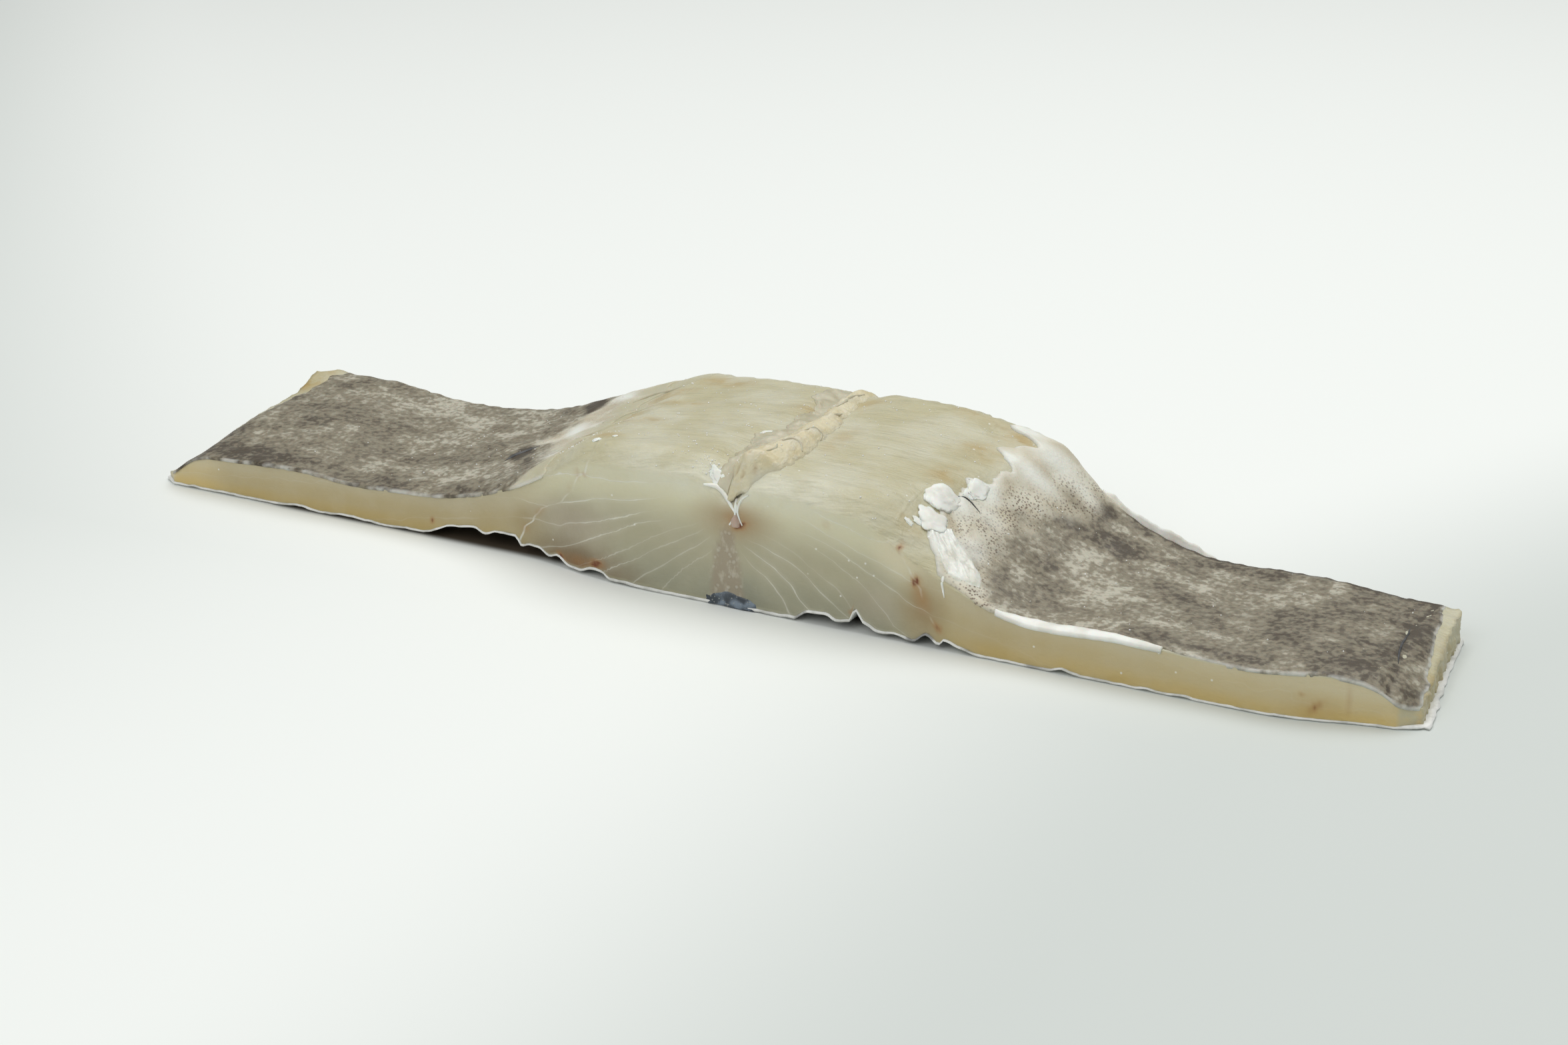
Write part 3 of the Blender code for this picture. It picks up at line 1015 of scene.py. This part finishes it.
def membraneMaterial(name, dull, bright, roughness, cloud=180):
    # white connective tissue, from dull to bright in small clouds
    material, tree, shader = newMaterial(name)
    place = objectPlace(tree)
    clouds = patchesOn(place, cloud, 4, 0.35, 0.62)
    colour = blend(clouds, dull, bright)
    wet = patchesOn(place, 400, 3, 0.35, 0.65)
    relief = clouds + wet * 0.5
    setInputs(tree, shader, {
        "Base Color": colour, "Roughness": between(wet, roughness, roughness + 0.2),
        "Normal": bumpOf(relief, 0.3, 0.0002), "Subsurface Weight": 0.15, "Subsurface Scale": 0.001,
    })
    return material


whiteStripLook = {
    "columns": 110,
    "rows": 8,
    "thick": 1.0,
    "from": 82,
    "to": 127,
    "proud": 0.35,
    "crown": 0.6,
    "width": ((82, 0.6), (87, 2.6), (94, 3.6), (103, 3.7), (112, 3.2), (120, 2.2), (127, 0.7)),
}


def whiteStrip(material):
    look = whiteStripLook

    def place(u, v):
        x = mix(look["from"], look["to"], u)
        return x, frontAt(x) - look["proud"] + v * (follow(look["width"], x) + 2 * look["proud"])

    def lift(u, v, x, y):
        return 0.15 + look["crown"] * math.sin(math.pi * min(max(v, 0), 1)) + 0.15 * ripple(x, y, 0, 4)

    return drapedPiece("whiteStrip", look, place, lift, material)


wetMembraneLook = {
    "columns": 46,
    "rows": 40,
    "thick": 0.9,
    # corners: upper left, upper right, lower right, lower left
    "corners": ((56.5, -31.5), (62.5, -24.5), (77.5, -36.0), (68.5, -41.2)),
    "rag": 0.6,
    "high": 0.75,
    "edgeHigh": 0.3,
}


def wetMembrane(material):
    look = wetMembraneLook
    (x0, y0), (x1, y1), (x2, y2), (x3, y3) = look["corners"]

    def place(u, v):
        waist = 0.75 + 0.25 * math.sin(math.pi * u)
        across = 0.5 + (v - 0.5) * waist + 0.05 * ripple(u * 9, v * 3, 0, 1.5, 3)
        x = mix(mix(x0, x1, across), mix(x3, x2, across), u)
        y = mix(mix(y0, y1, across), mix(y3, y2, across), u)
        return x + look["rag"] * ripple(x, y, 5, 3, 3), y + look["rag"] * ripple(x, y, 11, 3, 3)

    def lift(u, v, x, y):
        taper = edgeTaper(u, v, 0.08, 0.1)
        folds = 0.5 * abs(ripple(u * 4, v * 11, 3, 2.2, 2)) + 0.35 * ripple(x, y, 0, 2.2, 2)
        return mix(look["edgeHigh"], look["high"] + folds, taper)

    return drapedPiece("wetMembrane", look, place, lift, material)


frillLook = {
    "columns": 90,
    "rows": 5,
    "thick": 0.2,
    "from": 82,
    "to": 116,
    "tall": ((82, 0.2), (86, 1.6), (95, 2.3), (99, 1.9), (102, 2.6), (110, 1.9), (113, 0.8), (116, 0.1)),
}


def backFrill(material):
    # thin film that stands up behind the right flank
    look = frillLook
    bm, points = newSheet(look)
    for vert, u, v in points:
        x = mix(look["from"], look["to"], u)
        y = backAt(x) - 0.5 + 1.1 * v + 0.4 * ripple(x, 0, v, 5)
        tall = follow(look["tall"], x) * (1 + 0.25 * ripple(x, 0, 3, 5, 4))
        vert.co = Vector((x, y, heightOn(fleshTree, x, backAt(x) - 0.6) - 1.0 + (1.0 + tall) * v)) * mm
    bmesh.ops.translate(bm, verts=secondSide(bm), vec=(0, look["thick"] * mm, 0))
    bmesh.ops.recalc_face_normals(bm, faces=bm.faces)
    return finishPiece("backFrill", bm, material)


spineLook = {
    "columns": 40,
    "rows": 150,
    "thick": 1.4,
    "lumpy": 0.5,
    "curlHigh": 0.9,
    "pitDeep": 1.3,
    "left": (
        (-41.5, 4.6), (-37, 3.9), (-33, 4.6), (-29, 5.6), (-20, 6.6), (-11, 7.0), (-2, 6.8), (6, 7.2),
        (14, 6.0), (26, 5.4), (34, 5),
    ),
    "right": (
        (-41.5, 10.9), (-38, 14.2), (-35, 17.4), (-29, 18.6), (-20, 18.3), (-12, 17.4), (0, 16.6),
        (8, 14.4), (18, 12.6), (26, 12), (34, 13),
    ),
    "high": (
        (-42, 2.4), (-40.6, 5.0), (-37, 5.0), (-33, 4.2), (-25, 3.8), (-10, 3.2), (5, 2.4), (20, 1.6),
        (34, 1.1),
    ),
    "curls": (
        (14.4, -22, 4.2, 2.4, 60, 1.0), (14.8, -10.5, 4.6, 2.2, 70, 1.0), (12.6, 2.5, 5, 1.8, 80, 0.8),
        (9.2, -37.5, 3.2, 2.2, 20, 0.9), (9, 20, 7, 1.8, 75, 0.7), (12, -39, 2.4, 1.6, 0, 0.8),
    ),
    "pits": (
        (6.2, -38.6, 1.2, 1.0, 0, 0.7), (11.5, -38.8, 1.1, 1.0, 0, 0.7), (8.4, -40.2, 1.0, 0.8, 0, 0.7),
        (8.8, -37, 0.9, 0.8, 0, 0.6),
    ),
}


def spineBed(material):
    look = spineLook

    def place(u, v):
        y = mix(frontAt(7) + 0.2, backAt(7) - 0.2, v)
        left = follow(look["left"], y) + 0.7 * ripple(1, y, 0, 3, 3)
        right = follow(look["right"], y) + 1.0 * ripple(2, y, 0, 3.5, 3)
        return mix(left, right, u), y

    def lift(u, v, x, y):
        profile = math.sin(math.pi * min(max(u, 0), 1) ** 0.8) ** 0.75
        lumps = look["lumpy"] * ripple(x, y, 0, 3.2, 3)
        lumps += look["curlHigh"] * blot(x, y, look["curls"]) - look["pitDeep"] * blot(x, y, look["pits"])
        return mix(-0.3, follow(look["high"], y) + lumps, profile)

    def paint(u, v, x, y):
        return {"curl": blot(x, y, look["curls"]), "pit": blot(x, y, look["pits"]),
                "rim": 1 - softRamp(min(u, 1 - u), 0, 0.12)}

    return drapedPiece("spineBed", look, place, lift, material, paint)


def spineMaterial():
    material, tree, shader = newMaterial("spineLook")
    place = objectPlace(tree)
    curl, pit, rim = pointValue(tree, "curl"), pointValue(tree, "pit"), pointValue(tree, "rim")
    clouds = patchesOn(place, (160, 110, 160), 4, 0.35, 0.65)
    colour = blend(clouds, (0.67, 0.58, 0.37), (0.71, 0.64, 0.45))
    veins = patchesOn(place, (520, 260, 520), 5, 0.52, 0.66)
    colour = blend(veins * 0.5, colour, (0.7, 0.65, 0.53))
    colour = blend(curl * 0.5, colour, (0.74, 0.7, 0.59))
    colour = blend(pit * 0.8, colour, (0.4, 0.26, 0.11))
    colour = blend(rim * 0.3, colour, (0.66, 0.63, 0.52))
    pores = specksOn(place, 700, 0.5, 0.5)
    fine = patchesOn(place, (900, 500, 900), 4, 0.2, 0.8)
    relief = fine + veins - pores * 0.8
    setInputs(tree, shader, {
        "Base Color": colour, "Roughness": between(clouds, 0.32, 0.5),
        "Normal": bumpOf(relief, 0.35, 0.0003), "Subsurface Weight": 0.2,
        "Subsurface Radius": (1.0, 0.7, 0.45), "Subsurface Scale": 0.003,
    })
    return material


sideFilmLook = {
    "columns": 26,
    "rows": 120,
    "thick": 0.6,
    "left": (
        (-40, 0.5), (-36, 0.5), (-31, 0.0), (-24, 0.5), (-20, 0), (-14, -1.5), (-10, -0.5), (-6, 3),
        (0, 2.5), (5, 1), (10, 2.8), (16, 1.5), (20, -2), (26, -1), (33, 0),
    ),
    "right": ((-40, 4), (-30, 6), (0, 8.5), (33, 9)),
}


def sideFilm(material):
    # ragged film on the left of the backbone's bed
    look = sideFilmLook

    def place(u, v):
        y = mix(frontAt(0) + 1.4, backAt(0) - 0.4, v)
        left = follow(look["left"], y) + 1.1 * ripple(4, y, 0, 2.2, 4)
        return mix(left, follow(look["right"], y), u), y

    def lift(u, v, x, y):
        return mix(0.14, 0.5 + 0.5 * ripple(x, y, 6, 2.6, 3), softRamp(u, 0, 0.2))

    return drapedPiece("sideFilm", look, place, lift, material)


def addBlob(bm, place, size, turn, rough, seed):
    # an uneven rounded lump
    made = bmesh.ops.create_icosphere(bm, subdivisions=4, radius=1.0)["verts"]
    for vert in made:
        co = vert.co.copy()
        co *= 1 + rough * ripple(co.x + seed, co.y, co.z, 0.9, 3)
        co.x, co.y, co.z = co.x * size[0], co.y * size[1], co.z * size[2]
        vert.co = (Matrix.Rotation(math.radians(turn), 3, "Z") @ co + Vector(place)) * mm
    return made


flakeLook = {
    "flakes": (
        # (x, y, half sizes, turn, how uneven)
        (56.6, -19.4, (5.2, 3.3, 1.1), 66, 0.34),
        (61.2, -8.2, (3.8, 2.1, 0.55), 78, 0.45),
        (58.0, -28.2, (4.4, 3.6, 0.9), 60, 0.45),
        (55.4, -31.8, (1.5, 1.0, 0.4), 20, 0.4),
        (54.0, -34.2, (1.1, 0.8, 0.3), 0, 0.4),
        (-40.2, -33.3, (1.3, 0.9, 0.3), 0, 0.4),
        (-36.0, -30.6, (0.9, 0.6, 0.3), 0, 0.4),
        (0.0, -38.6, (2.2, 1.5, 0.35), -20, 0.4),
        (0.6, -10.6, (2.6, 1.1, 0.3), 50, 0.4),
    ),
}


def whiteFlakes(material):
    bm = bmesh.new()
    for index, (x, y, size, turn, rough) in enumerate(flakeLook["flakes"]):
        for vert in addBlob(bm, (x, y, 0.25 * size[2]), size, turn, rough, index * 7.3):
            vert.co.z += heightOn(coverTree, vert.co.x / mm, vert.co.y / mm) * mm
    return finishPiece("whiteFlakes", bm, material)


finLook = {"x": 6.4, "z": 0.6, "half": (9.6, 1.9, 5.6), "rough": 0.3}


def finRoot(material):
    # cut root of the back fin, dark, low in the middle of the front cut
    bm = bmesh.new()
    look = finLook
    addBlob(bm, (look["x"], frontAt(look["x"]) + 1.3, look["z"]), look["half"], 0, look["rough"], 3.1)
    for vert in bm.verts:
        vert.co.z = max(vert.co.z, 0.05 * mm)
        vert.co.y += 0.25 * mm * ripple(*(vert.co / mm), 1.6, 3)
    return finishPiece("finRoot", bm, material)


def finMaterial():
    material, tree, shader = newMaterial("finLook")
    place = objectPlace(tree)
    clouds = patchesOn(place, 300, 5, 0.36, 0.64)
    colour = blend(clouds, (0.045, 0.056, 0.07), (0.22, 0.27, 0.33))
    high = fieldOf(tree, "SeparateXYZ", "Z", {"Vector": place})
    crest = spread(high, 0.003, 0.0055) * between(clouds, 0.4, 1.0)
    colour = blend(crest, colour, (0.52, 0.57, 0.6))
    grit = specksOn(place, 1500, 0.35, 0.4)
    colour = blend(grit * 0.7, colour, (0.45, 0.47, 0.45))
    relief = clouds + grit
    setInputs(tree, shader, {
        "Base Color": colour, "Roughness": between(clouds, 0.3, 0.6),
        "Normal": bumpOf(relief, 0.6, 0.0004),
    })
    return material


# threads: thin round strands along a few points

def addStrand(bm, points, radii, sides=8, steps=6):
    spots = []
    for (start, startR), (end, endR) in zip(zip(points, radii), zip(points[1:], radii[1:])):
        for i in range(steps):
            share = i / steps
            spots.append((Vector(start).lerp(Vector(end), share), mix(startR, endR, softRamp(share, 0, 1))))
    spots.append((Vector(points[-1]), radii[-1]))
    for turn in range(4):
        smooth = [spots[0]]
        for before, here, after in zip(spots, spots[1:], spots[2:]):
            smooth.append(((before[0] + 2 * here[0] + after[0]) / 4, here[1]))
        spots = smooth + [spots[-1]]
    rings = []
    for index, (spot, radius) in enumerate(spots):
        ahead = spots[min(index + 1, len(spots) - 1)][0] - spots[max(index - 1, 0)][0]
        frameTurn = ahead.to_track_quat("Z", "Y").to_matrix().to_4x4()
        matrix = Matrix.Translation(spot * mm) @ frameTurn
        ring = bmesh.ops.create_circle(bm, segments=sides, radius=radius * mm, matrix=matrix)["verts"]
        rings.append(list({edge for vert in ring for edge in vert.link_edges}))
    for first, second in zip(rings, rings[1:]):
        bmesh.ops.bridge_loops(bm, edges=first + second)
    for ring in (rings[0], rings[-1]):
        bmesh.ops.contextual_create(bm, geom=ring)


threadLook = {
    # strands of (x, z) in the front cut, with a radius at each point; the film hangs in the notch of the fan
    "notchFilm": (
        (((-2.5, 33.4), (0.6, 32.9), (3.0, 31.2), (5.6, 29.0), (7.3, 27.0), (6.6, 25.2), (5.4, 23.4)),
         (0.3, 0.7, 0.65, 0.5, 0.32, 0.28, 0.25)),
        (((11.0, 32.6), (9.4, 31.6), (8.2, 29.8), (7.7, 27.4), (8.4, 25.4), (9.2, 23.8)),
         (0.2, 0.32, 0.35, 0.3, 0.22, 0.2)),
        (((7.0, 30.6), (7.3, 29.0), (7.4, 27.2)), (0.6, 0.55, 0.35)),
    ),
    "notchSac": ((((7.2, 26.6), (7.2, 24.8), (7.2, 23.2)), (0.5, 1.5, 1.3)),),
    "drip": ((((66.4, 20.4), (67.0, 18.4), (67.4, 16.4), (67.8, 14.4)), (0.55, 0.4, 0.3, 0.12)),),
    "proud": 0.12,  # how far the strands stand out of the cut
}


def faceThreads(name, material):
    bm = bmesh.new()
    for points, radii in threadLook[name]:
        places = []
        for (x, z), radius in zip(points, radii):
            hit = fleshTree.ray_cast(Vector((x * mm, -1, z * mm)), Vector((0, 1, 0)))[0]
            y = hit.y / mm if hit is not None else frontAt(x)
            places.append((x, y - threadLook["proud"] + 0.35 * radius, z))
        addStrand(bm, places, radii)
    bmesh.ops.recalc_face_normals(bm, faces=bm.faces)
    return finishPiece(name, bm, material)


topThreadLook = {
    # strands of (x, y) on top, with a radius at each point
    "darkLines": (
        (((58.6, -14.4), (60.2, -13.2), (61.6, -12.6), (64.4, -12.8)), (0.12, 0.28, 0.26, 0.12)),
        (((176.2, 6.0), (177.4, 0.0), (177.9, -7.7), (179.0, -14.0), (180.7, -20)),
         (0.1, 0.3, 0.34, 0.3, 0.1)),
        (((-85.6, -9.5), (-84.6, -6.0), (-82.6, -2.5), (-80.0, 0.6)), (0.15, 0.7, 0.6, 0.15)),
    ),
    "ridgeCurls": (
        # along the backbone's bed, then on the left shoulder
        (((12.2, -25), (13.8, -22.5), (16.0, -21.5), (17.4, -23.5)), (0.25, 0.5, 0.5, 0.2)),
        (((10.8, -27.5), (12.0, -24.5), (13.6, -20.5)), (0.15, 0.35, 0.2)),
        (((12.8, -13), (14.2, -10.2), (16.2, -9.6), (17.0, -12)), (0.2, 0.45, 0.45, 0.2)),
        (((9.0, -2), (11.5, 1.0), (13.4, 4.5), (13.0, 9)), (0.2, 0.45, 0.5, 0.2)),
        (((8.0, 12), (9.5, 17), (9.0, 23), (10.5, 28)), (0.25, 0.5, 0.45, 0.2)),
        (((12, -33.5), (13.5, -31), (12.5, -28.5)), (0.2, 0.45, 0.2)),
        (((-57, -25), (-54.5, -22.5), (-51.5, -22), (-49, -19.5)), (0.2, 0.6, 0.5, 0.15)),
        (((-60, -12), (-56, -9), (-52, -8.5), (-49.5, -5)), (0.15, 0.5, 0.45, 0.15)),
        (((-62, 6), (-57, 8), (-52, 7), (-47, 10)), (0.15, 0.45, 0.4, 0.12)),
        (((-60, 20), (-54, 23), (-48, 22), (-42, 25)), (0.15, 0.5, 0.45, 0.12)),
        (((-46, -14), (-42, -12.5), (-38, -13.5)), (0.12, 0.4, 0.12)),
        (((-50, 2), (-45, 4), (-39, 3)), (0.12, 0.4, 0.12)),
    ),
}


def topThreads(name, material):
    bm = bmesh.new()
    for points, radii in topThreadLook[name]:
        places = [(x, y, heightOn(topTree, x, y) - 0.25 * radius) for (x, y), radius in zip(points, radii)]
        addStrand(bm, places, radii)
    bmesh.ops.recalc_face_normals(bm, faces=bm.faces)
    return finishPiece(name, bm, material)


def inkMaterial():
    material, tree, shader = newMaterial("inkLook")
    clouds = patchesOn(objectPlace(tree), 500, 3, 0.3, 0.7)
    colour = blend(clouds, (0.03, 0.03, 0.032), (0.1, 0.1, 0.105))
    setInputs(tree, shader, {"Base Color": colour, "Roughness": 0.5})
    return material


saltLook = {
    "count": 400,
    "bevel": 0.18,  # of the size of a grain
    "small": 0.16,
    "large": 0.42,
    "heaps": ((-2, -37.5, 2.6, 60), (-9, -35, 4, 24), (-49, -26, 5, 16)),  # (x, y, spread, how many)
    "seed": 11,
}


def saltGrains(material):
    # small crystals lying on the top, more of them on the loins
    look = saltLook
    chance = random.Random(look["seed"])
    bm = bmesh.new()
    places = []
    for index in range(look["count"]):
        u = min(max(chance.gauss(0.52, 0.17), 0.03), 0.97)
        places.append(planPoint(u, chance.uniform(0.01, 0.98)))
    for heapX, heapY, spreadOut, many in look["heaps"]:
        for index in range(many):
            x = chance.gauss(heapX, spreadOut)
            places.append((x, max(chance.gauss(heapY, 0.6 * spreadOut), frontAt(x) + 1)))
    for x, y in places:
        size = mix(look["small"], look["large"], chance.random() ** 2)
        turn = Euler([chance.uniform(0, 6.28) for axis in range(3)]).to_matrix().to_4x4()
        place = Matrix.Translation(Vector((x, y, heightOn(topTree, x, y) + 0.25 * size)) * mm)
        cube = bmesh.ops.create_cube(bm, size=size * mm, matrix=place @ turn)["verts"]
        edges = list({edge for vert in cube for edge in vert.link_edges})
        offset = look["bevel"] * size * mm
        bmesh.ops.bevel(bm, geom=edges, offset=offset, affect="EDGES", segments=1, profile=0.5, material=-1)
    return finishPiece("saltGrains", bm, material, smooth=False)


def saltMaterial():
    material, tree, shader = newMaterial("saltLook")
    clouds = patchesOn(objectPlace(tree), 900, 2, 0.3, 0.7)
    colour = blend(clouds, (0.78, 0.79, 0.77), (0.93, 0.93, 0.91))
    setInputs(tree, shader, {"Base Color": colour, "Roughness": 0.2})
    return material


# stage, light and camera

stageLook = {
    "half": 8,  # metres from the middle of the floor to its edges
    "under": 0.0002,
    "pale": (0.92, 0.94, 0.915),
    "shade": (0.66, 0.695, 0.67),
    "arches": (0.10, 0.075, 0.05),
    "room": (0.97, 1.0, 0.985),
    "roomStrength": 0.35,
    # name: place, size, power, colour
    "lights": {
        "overheadSoftbox": ((0.1, 0.35, 1.5), 1.6, 18, (1, 1, 0.99)),
        "frontFill": ((-0.3, -1.5, 1.3), 1.2, 8, (1, 1, 1)),
    },
    "cameraPlace": (0.3596, -0.6905, 0.3076),
    "cameraTilt": 69,
    "cameraTurn": 27.53,
    "lens": 68.88,
    "sensor": 36,
}


def makeStage():
    look = stageLook
    bm = bmesh.new()
    bmesh.ops.create_grid(bm, x_segments=1, y_segments=1, size=look["half"])
    bmesh.ops.translate(bm, verts=bm.verts, vec=(0, 0, -look["under"]))
    mesh = bpy.data.meshes.new("paleFloor")
    bm.to_mesh(mesh)
    bm.free()
    floor = bpy.data.objects.new("paleFloor", mesh)
    bpy.context.scene.collection.objects.link(floor)
    material, tree, shader = newMaterial("paleFloorLook")
    # the light falls off to the sides and towards the front, and doesn't reach under the strip's arches
    place = fieldOf(tree, "TexCoord", "Object")
    x, y = (fieldOf(tree, "SeparateXYZ", axis, {"Vector": place}) for axis in "XY")
    aside = x + 0.01
    aside = calc("SQRT", aside * aside + 0.01) + calc("MAXIMUM", x, 0.0) * 0.9
    away = aside - calc("MAXIMUM", y, -0.07) * 0.9
    arches = spread(y, -0.0375, -0.033) * spread(y, 0.03, 0.02) * spread(abs(x), 0.16, 0.14)
    colour = blend(arches, blend(spread(away, 0.14, 0.4), look["pale"], look["shade"]), look["arches"])
    setInputs(tree, shader, {"Base Color": colour, "Roughness": 0.7})
    mesh.materials.append(material)


def makeLights():
    for name, (place, size, power, colour) in stageLook["lights"].items():
        light = bpy.data.lights.new(name, "AREA")
        light.size, light.energy, light.color = size, power, colour
        lamp = bpy.data.objects.new(name, light)
        lamp.location = place
        lamp.rotation_euler = (-Vector(place)).to_track_quat("-Z", "Y").to_euler()
        bpy.context.scene.collection.objects.link(lamp)
    world = bpy.data.worlds.new("paleRoom")
    world.use_nodes = True
    background = world.node_tree.nodes["Background"].inputs
    background["Color"].default_value = (*stageLook["room"], 1)
    background["Strength"].default_value = stageLook["roomStrength"]
    bpy.context.scene.world = world
    bpy.context.scene.view_settings.view_transform = "Standard"


def makeCamera():
    look = stageLook
    data = bpy.data.cameras.new("camera")
    data.lens, data.sensor_width = look["lens"], look["sensor"]
    camera = bpy.data.objects.new("camera", data)
    camera.location = look["cameraPlace"]
    camera.rotation_euler = Euler((math.radians(look["cameraTilt"]), 0, math.radians(look["cameraTurn"])))
    bpy.context.scene.collection.objects.link(camera)
    bpy.context.scene.camera = camera


makeStage()
makeLights()
makeCamera()
print("stage, light and camera ready")

fleshBm = fleshMesh()
paintPoints(fleshBm, [fleshPaint(vert) for vert in fleshBm.verts])
fleshTree = BVHTree.FromBMesh(fleshBm)
flesh = finishPiece("flesh", fleshBm, fleshMaterial())
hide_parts("cod_strip")
print("flesh ready")
skinPiece(skinMaterial())
print("skin ready")

liningLook = liningMaterial()
leftPiece = leftLining(liningLook)
rightPiece = rightLining(liningLook)
print("belly linings ready")

coverTree = rayTree([piece.data for piece in (flesh, leftPiece, rightPiece)])
whiteLook = membraneMaterial("whiteTissue", (0.80, 0.79, 0.72), (0.92, 0.92, 0.87), 0.35)
wetLook = membraneMaterial("wetTissue", (0.70, 0.69, 0.60), (0.88, 0.88, 0.82), 0.1, 200)
# tan film, darkened in part as painted shade for the film lying in the dip left of the backbone's bed
thinLook = membraneMaterial("thinTissue", (0.46, 0.42, 0.29), (0.58, 0.54, 0.41), 0.3, 160)
whiteStrip(whiteLook)
wetMembrane(wetLook)
backFrill(whiteLook)
sideFilm(thinLook)
whiteFlakes(whiteLook)
spinePiece = spineBed(spineMaterial())
finRoot(finMaterial())
faceThreads("notchFilm", whiteLook)
sacLook = membraneMaterial("sacTissue", (0.46, 0.33, 0.26), (0.58, 0.48, 0.40), 0.3, 260)
faceThreads("notchSac", sacLook)
faceThreads("drip", whiteLook)
print("membranes and backbone bed ready")

topTree = rayTree([piece.data for piece in (flesh, leftPiece, rightPiece, spinePiece)])
topThreads("darkLines", inkMaterial())
topThreads("ridgeCurls", thinLook)
saltGrains(saltMaterial())
print("salt ready")
